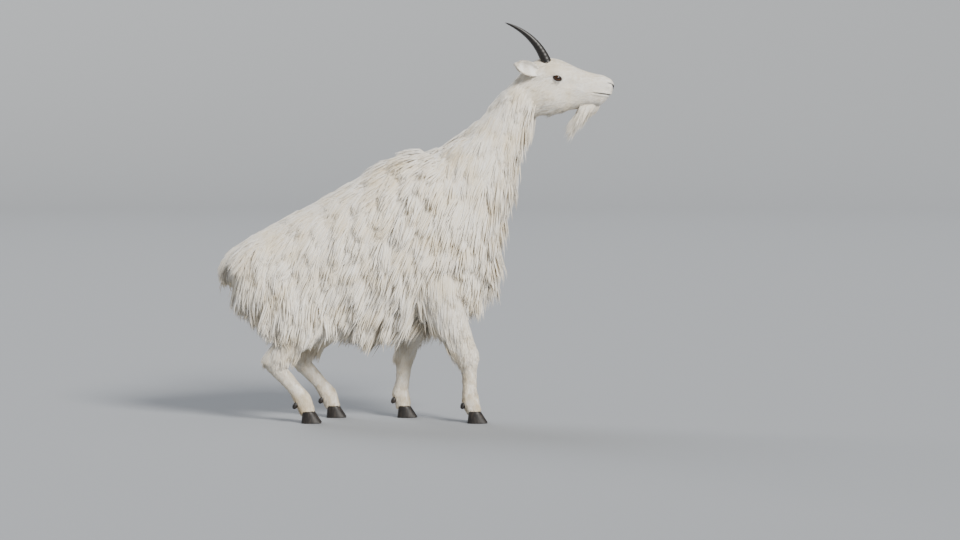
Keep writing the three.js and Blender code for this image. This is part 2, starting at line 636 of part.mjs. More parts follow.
const TAIL = [[-440, 612, 24, 24, 24], [-484, 596, 27, 25, 27], [-512, 560, 22, 24, 25], [-522, 515, 13, 14, 16]];
const tailSkin = new Skin(TAIL.map(([x, z, over, under, half]) => [x, 0, z, over, under, half]),
  { rings: 6, sides: 10, domes: [0, 12] });
const TAIL_ROOTS = [[0.45, 0.5], [0.5, 1.1], [0.5, -0.1], [0.8, 0.85], [0.8, 0.15]];
const tailProbe = prober(tailSkin.solid());
const tailCoat = TAIL_ROOTS.flatMap(([share, turn]) => {
  const { centre, up, side } = tailSkin.frame(share);
  const outward = side.clone().multiplyScalar(Math.cos(turn * Math.PI)).addScaledVector(up, Math.sin(turn * Math.PI));
  return laid(tailProbe(centre, outward), new THREE.Vector3(-0.1, 0, -1), 92, 40, { lift: 0.3, sag: 0.5, sunk: 10 });
});
const tail = (grow) => union([tailSkin.solid(grow), ...tailCoat.map((spec) => lock(spec, grow))]);

const bare = union([trunk.solid(), neck.solid()]);
const probe = prober(bare, union(grownLegs));
const coat = [
  ...trunkCoat(trunk, probe),
  ...endCoat(probe, 360, FORWARD.clone(), [840, 740, 640, 550], 85, 150),
  ...endCoat(probe, -400, FORWARD.clone().negate(), [600, 510], 92, 140),
  ...neckCoat(neck, probe),
];
const atHead = (body) => body.transform(headFrame.matrix.elements);
const furry = union([bare, ...coat.map((spec) => lock(spec))]);
const clear = cut(furry, [...grownLegs, tail(GAP), ...[skull(GAP), ...crown].map(atHead)]);
show('neck', cutBelow(clear, NECK_CUT.point, NECK_CUT.normal, 1), COAT);
show('trunk', cutBelow(clear, NECK_CUT.point, NECK_CUT.normal, -1), COAT);
show('tail', cut(tail(0), grownLegs), COAT);

// The origin is under the middle of the whole animal, on the floor.
const reach = new THREE.Box3().setFromObject(goat);
const middle = reach.getCenter(new THREE.Vector3());
goat.position.set(-middle.x, -middle.y, -reach.min.z);

export default goat;
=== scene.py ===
"""A life-size mountain goat, dressed for its studio picture.

The goat faces +X, its left side is +Y, and the floor is Z = 0. Shapes are worked out in the animal's own
millimetres, with x measured from the middle of its trunk, and one function carries them to the frame's
metres. One skin stands for the flesh, and the coat on it is solid tufts that are rooted in the skin and laid
along the hair.
"""
from __future__ import annotations

import logging
import math
from dataclasses import dataclass, field, fields
from enum import Enum
from typing import Callable, ClassVar, Sequence

import bpy
import numpy as np
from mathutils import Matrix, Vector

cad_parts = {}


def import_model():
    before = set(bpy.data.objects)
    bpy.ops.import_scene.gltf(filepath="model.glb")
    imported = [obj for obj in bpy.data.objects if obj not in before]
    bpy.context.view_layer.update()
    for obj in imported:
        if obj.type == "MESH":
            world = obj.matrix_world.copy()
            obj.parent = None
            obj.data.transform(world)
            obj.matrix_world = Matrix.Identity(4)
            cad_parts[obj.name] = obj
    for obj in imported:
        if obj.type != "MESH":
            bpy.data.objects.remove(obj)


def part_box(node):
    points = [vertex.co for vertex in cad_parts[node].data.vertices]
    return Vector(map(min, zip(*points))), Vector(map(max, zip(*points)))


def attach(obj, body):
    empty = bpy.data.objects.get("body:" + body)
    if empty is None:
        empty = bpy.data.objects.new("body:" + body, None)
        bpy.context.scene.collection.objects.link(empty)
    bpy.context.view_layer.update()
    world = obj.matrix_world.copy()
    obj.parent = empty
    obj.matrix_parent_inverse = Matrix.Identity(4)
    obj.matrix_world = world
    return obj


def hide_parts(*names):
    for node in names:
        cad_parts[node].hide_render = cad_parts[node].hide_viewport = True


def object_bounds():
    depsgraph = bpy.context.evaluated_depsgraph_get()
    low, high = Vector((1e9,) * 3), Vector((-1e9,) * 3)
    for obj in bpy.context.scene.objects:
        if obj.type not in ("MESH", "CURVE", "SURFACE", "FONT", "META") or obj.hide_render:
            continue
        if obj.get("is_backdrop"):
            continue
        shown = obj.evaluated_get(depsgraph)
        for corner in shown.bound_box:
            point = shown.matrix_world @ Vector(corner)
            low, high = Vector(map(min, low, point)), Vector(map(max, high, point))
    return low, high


LOG = logging.getLogger("goat")
Array = np.ndarray
Point = tuple[float, float, float]
Row = tuple[float, ...]
Colour = tuple[float, float, float, float]
Socket = bpy.types.NodeSocket
Tree = bpy.types.NodeTree
Band = tuple[float, float]
Layer = tuple[Socket | float, Band | None, str, str]

MM = 0.001
UP = np.array([0.0, 0.0, 1.0])
ACROSS = np.array([0.0, 1.0, 0.0])
FORWARD = np.array([1.0, 0.0, 0.0])
BAKE_MAP = "OFBake"
GAZE_MAP = "gaze"
# The side of a tuft's patch on the bake map, and the map's own empty edge.
PATCH = 0.003
MAP_EDGE = 0.01
# How a Map Range node goes from 0 to 1: smoothly.
SMOOTH = {"interpolation_type": "SMOOTHSTEP"}


class Side(Enum):
    """The goat's two sides, with the sign that each has along y."""

    RIGHT = -1
    LEFT = 1

    @property
    def word(self) -> str:
        """The side's name in lower case, as the nodes have it."""
        return self.name.lower()


class Region(Enum):
    """The parts of the animal on which the hair grows in ways of their own."""

    TRUNK = "trunk"
    NECK = "neck"
    TAIL = "tail"
    FORELEG_RIGHT = "foreleg_right"
    FORELEG_LEFT = "foreleg_left"
    THIGH_RIGHT = "thigh_right"
    THIGH_LEFT = "thigh_left"
    SHANK_RIGHT = "shank_right"
    SHANK_LEFT = "shank_left"
    CANNON_RIGHT = "cannon_right"
    CANNON_LEFT = "cannon_left"
    HEAD = "head"


def unit(vectors: Array) -> Array:
    """Vectors over their own lengths."""
    return vectors / np.maximum(np.linalg.norm(vectors, axis=-1, keepdims=True), 1e-9)


def dot(a: Array, b: Array) -> Array:
    """The dot product of matching vectors, kept as a last axis of one."""
    return np.sum(a * b, axis=-1, keepdims=True)


def smoothstep(low: float, high: float, value: Array) -> Array:
    """0 before `low`, 1 past `high`, whichever is the larger, and 3t² - 2t³ between them."""
    t = np.clip((value - low) / (high - low), 0.0, 1.0)
    return t * t * (3.0 - 2.0 * t)


def linear(hex_value: str) -> Colour:
    """Turns an sRGB colour into the linear one that the shaders take.

    Args:
        hex_value: six hex digits, with or without a leading #.

    Returns:
        Red, green, blue and an alpha of one.
    """
    digits = hex_value.lstrip("#")
    channels = [int(digits[i : i + 2], 16) / 255 for i in (0, 2, 4)]
    r, g, b = (c / 12.92 if c <= 0.04045 else ((c + 0.055) / 1.055) ** 2.4 for c in channels)
    return (r, g, b, 1.0)


def through(rows: Array, share: Array) -> Array:
    """Rows of a table at shares of its length.

    A cubic runs through the rows, and its slope at each row is half the step between the row's neighbours.

    Args:
        rows: the table, one row a station.
        share: places from 0 at the first row to 1 at the last.

    Returns:
        One interpolated row for each share.
    """
    last = len(rows) - 1
    place = np.clip(share, 0.0, 1.0) * last
    k = np.minimum(place.astype(int), last - 1)
    f = (place - k)[..., None]
    before, start, end, after = (rows[np.clip(k + i, 0, last)] for i in (-1, 0, 1, 2))
    leaving, arriving = (end - before) / 2, (after - start) / 2
    return ((2 * f**3 - 3 * f**2 + 1) * start + (f**3 - 2 * f**2 + f) * leaving
            + (3 * f**2 - 2 * f**3) * end + (f**3 - f**2) * arriving)


def bell(value: Array, width: float) -> Array:
    """1 at zero, falling away as the exponential of minus (value / width)²."""
    return np.exp(-((value / width) ** 2))


def turns(count: int) -> Array:
    """Angles at even steps round a circle."""
    return np.arange(count) * 2 * math.pi / count


def pitched(points: Array, angle: float) -> Array:
    """Points or directions turned about y: forward x·cos + z·sin, and up z·cos - x·sin."""
    c, s = math.cos(angle), math.sin(angle)
    x, y, z = (points[..., i] for i in range(3))
    return np.stack([x * c + z * s, y, z * c - x * s], -1)


def bent(value: Array, power: float) -> Array:
    """A cosine or sine bent towards a box's section: a power of 1 is an ellipse, and smaller is squarer."""
    return np.sign(value) * np.abs(value) ** power


def waves(points: Array, length: float, seed: int) -> Array:
    """A smooth field from -1 to 1: the mean of five sines along random directions.

    Args:
        points: places in mm.
        length: the usual wavelength in mm.
        seed: what the directions, wavelengths and phases are drawn from.

    Returns:
        One value for each point.
    """
    rng, count = np.random.default_rng(seed), 5
    ways = unit(rng.normal(size=(count, 3)))
    ways = ways * (2 * math.pi / (length * rng.uniform(0.7, 1.5, (count, 1))))
    return np.mean(np.sin(points @ ways.T + rng.uniform(0, 2 * math.pi, count)), axis=-1)


@dataclass
class Surface:
    """A closed mesh: points in mm, triangles that face outwards, perhaps a normal for each face's corner."""

    points: Array
    faces: Array
    shading: Array | None = None

    def outward(self) -> Surface:
        """Turns all the faces round if they enclose a negative volume."""
        a, b, c = (self.points[self.faces[:, i]] for i in range(3))
        if np.sum(dot(a, np.cross(b, c))) < 0:
            self.faces = self.faces[:, ::-1]
        return self

    def normals(self) -> Array:
        """A normal at each point: the sum of its faces' normals, each weighed by the face's area."""
        a, b, c = (self.points[self.faces[:, i]] for i in range(3))
        lean = np.cross(b - a, c - a)
        total = np.zeros_like(self.points)
        for i in range(3):
            np.add.at(total, self.faces[:, i], lean)
        return unit(total)

    def on_body(self) -> Surface:
        """The same surface, carried from the head's millimetres to the animal's."""
        return Surface(head_to_body(self.points), self.faces, self.shading)


def joined(surfaces: Sequence[Surface]) -> Surface:
    """Several surfaces as one mesh."""
    starts = np.cumsum([0] + [len(s.points) for s in surfaces[:-1]])
    faces = [s.faces + start for s, start in zip(surfaces, starts)]
    shaded = all(s.shading is not None for s in surfaces)
    shading = np.concatenate([s.shading for s in surfaces]) if shaded else None
    return Surface(np.concatenate([s.points for s in surfaces]), np.concatenate(faces), shading)


def cells(index: Array) -> Array:
    """Two triangles for each cell between neighbouring rings of indices. Each ring closes on itself."""
    after = np.roll(index, -1, axis=1)
    a, b, c, d = index[:-1], after[:-1], after[1:], index[1:]
    return np.concatenate([np.stack(corner, -1).reshape(-1, 3) for corner in ((a, b, c), (a, c, d))])


def tube(grid: Array) -> Surface:
    """Closes rings of points into a body, with a fan of triangles over each end.

    Args:
        grid: rings × points × 3, each ring going round once without repeating its first point.

    Returns:
        The closed surface.
    """
    rings, sides = grid.shape[:2]
    index = np.arange(rings * sides).reshape(rings, sides)
    first, last = (np.full(sides, rings * sides + i) for i in (0, 1))
    start = np.stack([index[0], first, np.roll(index[0], -1)], -1)
    end = np.stack([index[-1], np.roll(index[-1], -1), last], -1)
    points = np.concatenate([grid.reshape(-1, 3), grid[[0, -1]].mean(axis=1)])
    return Surface(points, np.concatenate([cells(index), start, end])).outward()


def globe(rings: int, sides: int, gap: float) -> Array:
    """Rings of points on a ball of radius one, from `gap` off its z axis to the same off -z."""
    polar, turn = np.linspace(gap, math.pi - gap, rings)[:, None], turns(sides)[None]
    out = np.sin(polar)
    return np.stack([out * np.cos(turn), out * np.sin(turn), np.cos(polar) + 0 * turn], -1)


@dataclass(frozen=True)
class Section:
    """Sections of a loft: their middles, their axes, and how far each reaches over, under and to the side."""

    centre: Array
    along: Array
    up: Array
    side: Array
    over: Array
    under: Array
    half: Array

    def pick(self, index: Array) -> Section:
        """The sections at the places of an index."""
        return Section(*(getattr(self, part.name)[index] for part in fields(self)))

    def measure(self, points: Array) -> tuple[Array, Array, Array]:
        """How far points are from their sections' middles.

        Args:
            points: one place in mm for each section.

        Returns:
            The way across and the way up, in the section's own reaches, and the way along in mm.
        """
        offset = points - self.centre
        across, rise, ahead = (dot(offset, axis)[:, 0] for axis in (self.side, self.up, self.along))
        return across / self.half, rise / np.where(rise > 0, self.over, self.under), ahead


@dataclass(frozen=True)
class Loft:
    """A form of flesh along a path: rows of x, y, z, reach over, reach under and half width, in mm.

    A section stands across the path, or upright where asked. Its outline is an ellipse of unlike upper and
    lower halves, bent towards a box by `power`. The ends are domes of the given depths.
    """

    rows: tuple[Row, ...]
    domes: tuple[float, float] = (0.0, 0.0)
    upright: bool = False
    power: float = 1.0
    stations: int = 60
    near_end: float = 4.0

    def section(self, share: Array) -> Section:
        """The sections at shares of the length, with the path's direction from two near points of it.

        Args:
            share: places from 0 at the first row to 1 at the last.

        Returns:
            One section for each share.
        """
        table = np.array(self.rows)
        values = through(table, share)
        step = 0.01
        ahead, behind = (through(table, np.clip(share + s, 0, 1))[..., :3] for s in (step, -step))
        along = np.broadcast_to(FORWARD, ahead.shape) if self.upright else unit(ahead - behind)
        up = unit(np.cross(along, ACROSS))
        return Section(values[..., :3], along, up, np.cross(up, along), *(values[..., i] for i in (3, 4, 5)))

    def ring(self, share: Array, angle: Array, push: Array, scale: Array) -> Array:
        """Rings of points, pushed along the path and scaled.

        Args:
            share: places along the loft.
            angle: where round a ring its points stand.
            push: how far each ring is moved along the path, in mm.
            scale: what each ring is scaled by.

        Returns:
            Rings × sides × 3.
        """
        s = self.section(share)
        c, t = bent(np.cos(angle), self.power), bent(np.sin(angle), self.power)
        reach = np.where(t > 0, s.over[:, None], s.under[:, None]) * t * scale[:, None]
        return (s.centre[:, None] + s.along[:, None] * push[:, None, None]
                + s.side[:, None] * (c * s.half[:, None] * scale[:, None])[..., None]
                + s.up[:, None] * reach[..., None])

    def grid(self, share: Array, angle: Array, dome_rings: int = 6) -> Array:
        """All the rings from one dome's tip to the other's.

        A dome's ring at a turn t is pushed by the depth times sin t and scaled by cos t.

        Args:
            share: where along the form its rings stand.
            angle: where round a ring its points stand.
            dome_rings: steps in a dome.

        Returns:
            Rings × points × 3.
        """
        turn = np.linspace(0.0, math.pi / 2, dome_rings + 1)[1:-1]
        parts = []
        for end, depth in enumerate(self.domes):
            way = 1.0 if end else -1.0
            dome = self.ring(np.full(len(turn), float(end)), angle, way * depth * np.sin(turn), np.cos(turn))
            parts.append(dome if end else dome[::-1])
        middle = self.ring(share, angle, np.zeros(len(share)), np.ones(len(share)))
        return np.concatenate([parts[0], middle, parts[1]])

    def body(self, rings: int, sides: int) -> Surface:
        """The whole closed form, on even rings."""
        return tube(self.grid(np.linspace(0, 1, rings), turns(sides)))

    def locate(self, points: Array) -> tuple[Array, Array, Array]:
        """Where points lie on the form.

        Each point goes to the nearest of the stations, along x alone where the sections are upright, and is
        measured there in the section's own reaches, and past an end in the dome's depth.

        Args:
            points: places in mm.

        Returns:
            The share along the form, the angle round it, and the distance from its surface in mm.
        """
        share = np.linspace(0.0, 1.0, self.stations)
        sections = self.section(share)
        if self.upright:
            near = np.argmin(np.abs(points[:, :1] - sections.centre[:, 0]), axis=1)
        else:
            near = nearest(points, sections.centre)
        section = sections.pick(near)
        across, rise, ahead = section.measure(points)
        at_end = (near == 0) | (near == len(share) - 1)
        depth = np.where(near == 0, self.domes[0], self.domes[1]) + self.near_end
        beyond = np.where(at_end, ahead / depth, 0.0)
        size = np.maximum(np.sqrt(across**2 + rise**2 + beyond**2), 0.05)
        distance = np.linalg.norm(points - section.centre, axis=1) * np.abs(1 - 1 / size)
        return share[near], np.arctan2(rise, across), distance

    def holds(self, points: Array, limit: float) -> tuple[Array, Array]:
        """Tells which points lie inside the form.

        Args:
            points: places in mm.
            limit: the square of the share of its reaches that they have to lie within.

        Returns:
            Whether each does, and its share along the form.
        """
        share = self.locate(points)[0]
        across, rise, _ = self.section(share).measure(points)
        return across**2 + rise**2 < limit, share


def nearest(points: Array, cloud: Array) -> Array:
    """The index in `cloud` of the point nearest to each of `points`.

    A squared distance is |p|² + |q|² - 2 p·q, so the whole table of them is one matrix product, taken in
    slices.

    Args:
        points: the places asked about.
        cloud: the places to choose from.

    Returns:
        One index for each of `points`.
    """
    middle = cloud.mean(axis=0)
    points, cloud = (points - middle).astype(np.float32), (cloud - middle).astype(np.float32)
    squares = np.sum(cloud**2, axis=1)
    slices = np.array_split(points, max(1, len(points) * len(cloud) // 20_000_000))
    return np.concatenate([np.argmin(squares - 2 * part @ cloud.T, axis=1) for part in slices])


def relaxed(surface: Surface, strength: Array, rounds: int) -> Surface:
    """Smooths a closed surface: in each round a point moves by `strength` of the way to its neighbours' mean.

    Args:
        surface: a closed mesh, so that each edge is met once in each direction.
        strength: the share of the way for each point.
        rounds: how often.

    Returns:
        The smoothed surface.
    """
    start, end = surface.faces.ravel(), np.roll(surface.faces, -1, axis=1).ravel()
    points, size = surface.points.copy(), len(surface.points)
    count = np.bincount(start, minlength=size)
    for _ in range(rounds):
        mean = np.stack([np.bincount(start, points[end, k], size) / count for k in range(3)], -1)
        points += strength[:, None] * (mean - points)
    return Surface(points, surface.faces)


HEAD_AT = np.array([560.0, 0.0, 1194.0])
HEAD_PITCH = math.radians(5)


def head_to_body(points: Array) -> Array:
    """Turns the head's own millimetres into the animal's: pitched about y at the nape, then moved there."""
    return pitched(points, HEAD_PITCH) + HEAD_AT


def body_to_head(points: Array) -> Array:
    """Undoes head_to_body."""
    return pitched(points - HEAD_AT, -HEAD_PITCH)


TRUNK = Loft(upright=True, power=0.92, domes=(26, 22), rows=(
    (-444, 0, 545, 92, 98, 98), (-384, 0, 552, 120, 142, 138), (-290, 0, 568, 152, 178, 160),
    (-170, 0, 596, 186, 218, 171), (-45, 0, 632, 216, 272, 173), (80, 0, 668, 246, 308, 167),
    (190, 0, 698, 240, 316, 156), (290, 0, 716, 222, 292, 140), (372, 0, 722, 172, 244, 117),
    (418, 0, 720, 126, 188, 88),
))
NECK = Loft(power=0.95, domes=(0, 12), rows=(
    (285, 0, 765, 176, 182, 128), (380, 0, 898, 122, 130, 106), (449, 0, 1010, 80, 88, 82),
    (509, 0, 1108, 64, 76, 68), (560, 0, 1172, 58, 68, 60), (594, 0, 1194, 46, 58, 52),
))
TAIL = Loft(domes=(0, 12), rows=(
    (-440, 0, 612, 24, 24, 24), (-484, 0, 596, 27, 25, 27), (-512, 0, 560, 22, 24, 25),
    (-522, 0, 515, 13, 14, 16),
))
HEAD = Loft(upright=True, power=0.88, domes=(26, 16), rows=(
    (0, 0, 0, 64, 76, 48), (32, 0, 0, 83, 92, 56), (64, 0, 0, 93, 98, 60), (98, 0, 0, 92, 95, 60),
    (132, 0, 0, 82, 84, 53), (166, 0, 0, 69, 73, 46), (200, 0, 0, 59, 63, 41), (234, 0, 0, 53, 58, 38),
    (264, 0, 0, 50, 55, 37), (288, 0, 0, 42, 46, 33),
))

STANCE = 100.0
KNEE_HEIGHT = 232.0
HOCK_HEIGHT = 214.0
# Height, reach in front, reach behind and half width of cannon, fetlock and pastern.
CANNON_ROWS = ((152, 25, 27, 23), (114, 24, 27, 23), (84, 29, 34, 30), (56, 25, 28, 29), (33, 27, 30, 33))


def mix(a: float, b: float, share: float | Array) -> float | Array:
    """The value a share of the way from `a` to `b`."""
    return a + (b - a) * share


@dataclass(frozen=True)
class Leg:
    """What every leg shares: its side, its fetlock and toe along x, and its hoofs."""

    side: Side
    fetlock: float
    toe: float
    toe_reach: ClassVar[float] = 12.0
    pastern_back: ClassVar[float] = 6.0

    @property
    def y(self) -> float:
        """How far to the side the foot is set."""
        return self.side.value * STANCE

    @property
    def foot(self) -> float:
        """Where along x the middle of the hoofs stands."""
        return self.toe - self.toe_reach

    def cannon_rows(self, start: float) -> list[Row]:
        """Cannon, fetlock and pastern below a joint that stands at `start` along x."""
        places = (mix(start, self.fetlock, 0.5), mix(start, self.fetlock, 0.8), self.fetlock,
                  mix(self.fetlock, self.foot, 0.5), self.foot - self.pastern_back)
        return [(x, self.y, z, *reach) for x, (z, *reach) in zip(places, CANNON_ROWS)]


@dataclass(frozen=True)
class Foreleg(Leg):
    """A foreleg: elbow and knee along x."""

    elbow: float
    knee: float

    def lofts(self) -> dict[Region, Loft]:
        """One form from the elbow to the coronet."""
        s, e, k = self.side.value, self.elbow, self.knee
        rows = [
            (e + 4, s * 92, 610, 88, 92, 40), (e - 4, s * 108, 510, 78, 84, 46),
            (mix(e, k, 0.12), s * 112, 425, 66, 70, 46), (mix(e, k, 0.45), s * 108, 345, 50, 50, 39),
            (mix(e, k, 0.8), s * 103, 278, 37, 35, 33),
            (k, self.y, KNEE_HEIGHT, 38, 34, 36), (mix(k, self.fetlock, 0.25), self.y, 192, 28, 28, 26),
            *self.cannon_rows(k),
        ]
        return {Region[f"FORELEG_{self.side.name}"]: Loft(tuple(rows), (20, 0), power=0.95)}


@dataclass(frozen=True)
class Hindleg(Leg):
    """A hind leg: hip, stifle and hock along x."""

    hip: float
    stifle: float
    hock: float

    def lofts(self) -> dict[Region, Loft]:
        """Thigh, shank and cannon, each a form of its own."""
        s, y, knee, hock = self.side.value, self.y, self.stifle, self.hock
        thigh = (
            (self.hip - 62, s * 92, 610, 84, 84, 46), (self.hip, s * 102, 522, 110, 122, 72),
            (mix(self.hip, knee, 0.55), s * 107, 448, 92, 104, 69), (knee, s * 109, 398, 62, 64, 56),
        )
        shank = (
            (knee, s * 109, 400, 58, 60, 50), (mix(knee, hock, 0.35), s * 107, 342, 60, 64, 46),
            (mix(knee, hock, 0.72), s * 104, 272, 41, 43, 34), (hock, y, HOCK_HEIGHT, 31, 40, 31),
        )
        cannon = (
            (hock - 6, y, HOCK_HEIGHT + 14, 29, 34, 29), (mix(hock, self.fetlock, 0.2), y, 190, 27, 31, 26),
            *self.cannon_rows(hock),
        )
        name = self.side.name
        return {
            Region[f"THIGH_{name}"]: Loft(thigh, (30, 30), power=0.95),
            Region[f"SHANK_{name}"]: Loft(shank, (20, 10)),
            Region[f"CANNON_{name}"]: Loft(cannon, (14, 0), power=0.95),
        }


FORELEGS = (
    Foreleg(Side.RIGHT, fetlock=358, toe=388, elbow=262, knee=350),
    Foreleg(Side.LEFT, fetlock=108, toe=136, elbow=196, knee=124),
)
HINDLEGS = (
    Hindleg(Side.RIGHT, fetlock=-232, toe=-196, hip=-338, stifle=-158, hock=-338),
    Hindleg(Side.LEFT, fetlock=-152, toe=-118, hip=-328, stifle=-104, hock=-262),
)


@dataclass
class Placement:
    """Carries the animal's millimetres to the frame's metres, by where the right eye's node is."""

    shift: Array = field(default_factory=lambda: np.zeros(3))

    @classmethod
    def from_frame(cls) -> Placement:
        """Reads the shift off the right eye's node."""
        low, high = (np.array(corner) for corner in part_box("eye_right"))
        eye = head_to_body(Eyes().middle(Side.RIGHT))
        return cls((low + high) / 2 - eye * MM)

    def metres(self, points: Array) -> Array:
        """Points of the animal in the frame's metres."""
        return points * MM + self.shift


@dataclass
class Maker:
    place: Placement

    def make(
        self,
        name: str,
        surface: Surface,
        material: bpy.types.Material,
        slot: str,
        replaced: Sequence[str] = (),
        attributes: dict[str, Array] | None = None,
        maps: dict[str, Array] | None = None,
    ) -> bpy.types.Object:
        """Makes one piece of the goat.

        Args:
            name: the piece's name.
            surface: its mesh in mm.
            material: its finish.
            slot: the record's slot that the finish belongs to. It is not used.
            replaced: the CAD nodes that the piece stands for.
            attributes: one value a point, by the attribute's name.
            maps: one u, v for each face's corner, by the map's name.

        Returns:
            The object, at the origin.
        """
        mesh = bpy.data.meshes.new(name)
        points, faces = self.place.metres(surface.points), surface.faces
        mesh.vertices.add(len(points))
        mesh.vertices.foreach_set("co", points.astype(np.float32).ravel())
        mesh.loops.add(faces.size)
        mesh.loops.foreach_set("vertex_index", faces.astype(np.int32).ravel())
        mesh.polygons.add(len(faces))
        mesh.polygons.foreach_set("loop_start", np.arange(0, faces.size, 3, dtype=np.int32))
        mesh.polygons.foreach_set("use_smooth", np.ones(len(faces), bool))
        mesh.update(calc_edges=True)
        if surface.shading is not None:
            mesh.normals_split_custom_set(surface.shading.astype(np.float32))
        for key, values in (attributes or {}).items():
            layer = mesh.attributes.new(key, "FLOAT", "POINT")
            layer.data.foreach_set("value", values.astype(np.float32))
        for key, corners in (maps or {}).items():
            layer = mesh.uv_layers.new(name=key)
            layer.uv.foreach_set("vector", corners.astype(np.float32).ravel())
        mesh.materials.append(material)
        piece = bpy.data.objects.new(name, mesh)
        bpy.context.collection.objects.link(piece)
        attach(piece, "root")
        if replaced:
            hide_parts(*replaced)
        LOG.info("%s: %d triangles", name, len(faces))
        return piece


def fill(node: bpy.types.Node, settings: dict[str | int, object]) -> None:
    """Sets a shader node's properties and inputs.

    Args:
        node: the node.
        settings: values by the name of a property or input, or by an input's number. A socket is linked to
            the input, and any other value is set on it.
    """
    for key, value in settings.items():
        if isinstance(key, str) and hasattr(node, key):
            setattr(node, key, value)
        elif isinstance(value, Socket):
            node.id_data.links.new(value, node.inputs[key])
        else:
            node.inputs[key].default_value = value


def add(tree: Tree, kind: str, settings: dict[str | int, object], output: str | int = 0) -> Socket:
    """Adds a shader node with its settings and links, and gives one of its outputs.

    Args:
        tree: the material's node tree.
        kind: the node's type.
        settings: what `fill` sets and links.
        output: the output's name or number.

    Returns:
        The output's socket.
    """
    node = tree.nodes.new(kind)
    fill(node, settings)
    return node.outputs[output]


def layered(tree: Tree, colour: Colour | Socket, layers: Sequence[Layer]) -> Socket:
    """Lays colours over one another.

    Args:
        tree: the material's node tree.
        colour: what lies under them all.
        layers: for each the value that drives it, the band over which it comes in smoothly, or None where the
            value is the amount itself, its sRGB hex value, and how it is laid, by mixing or multiplying.

    Returns:
        The finished colour's socket.
    """
    for value, band, over, way in layers:
        if band:
            settings = {**SMOOTH, "Value": value, "From Min": band[0], "From Max": band[1]}
            value = add(tree, "ShaderNodeMapRange", settings)
        settings = {"data_type": "RGBA", "blend_type": way, 0: value, 6: colour, 7: linear(over)}
        colour = add(tree, "ShaderNodeMix", settings, 2)
    return colour


def fresh(name: str) -> tuple[bpy.types.Material, Tree, bpy.types.Node]:
    """A new material, its tree and its main shader."""
    material = bpy.data.materials.new(name)
    material.use_nodes = True
    return material, material.node_tree, material.node_tree.nodes["Principled BSDF"]


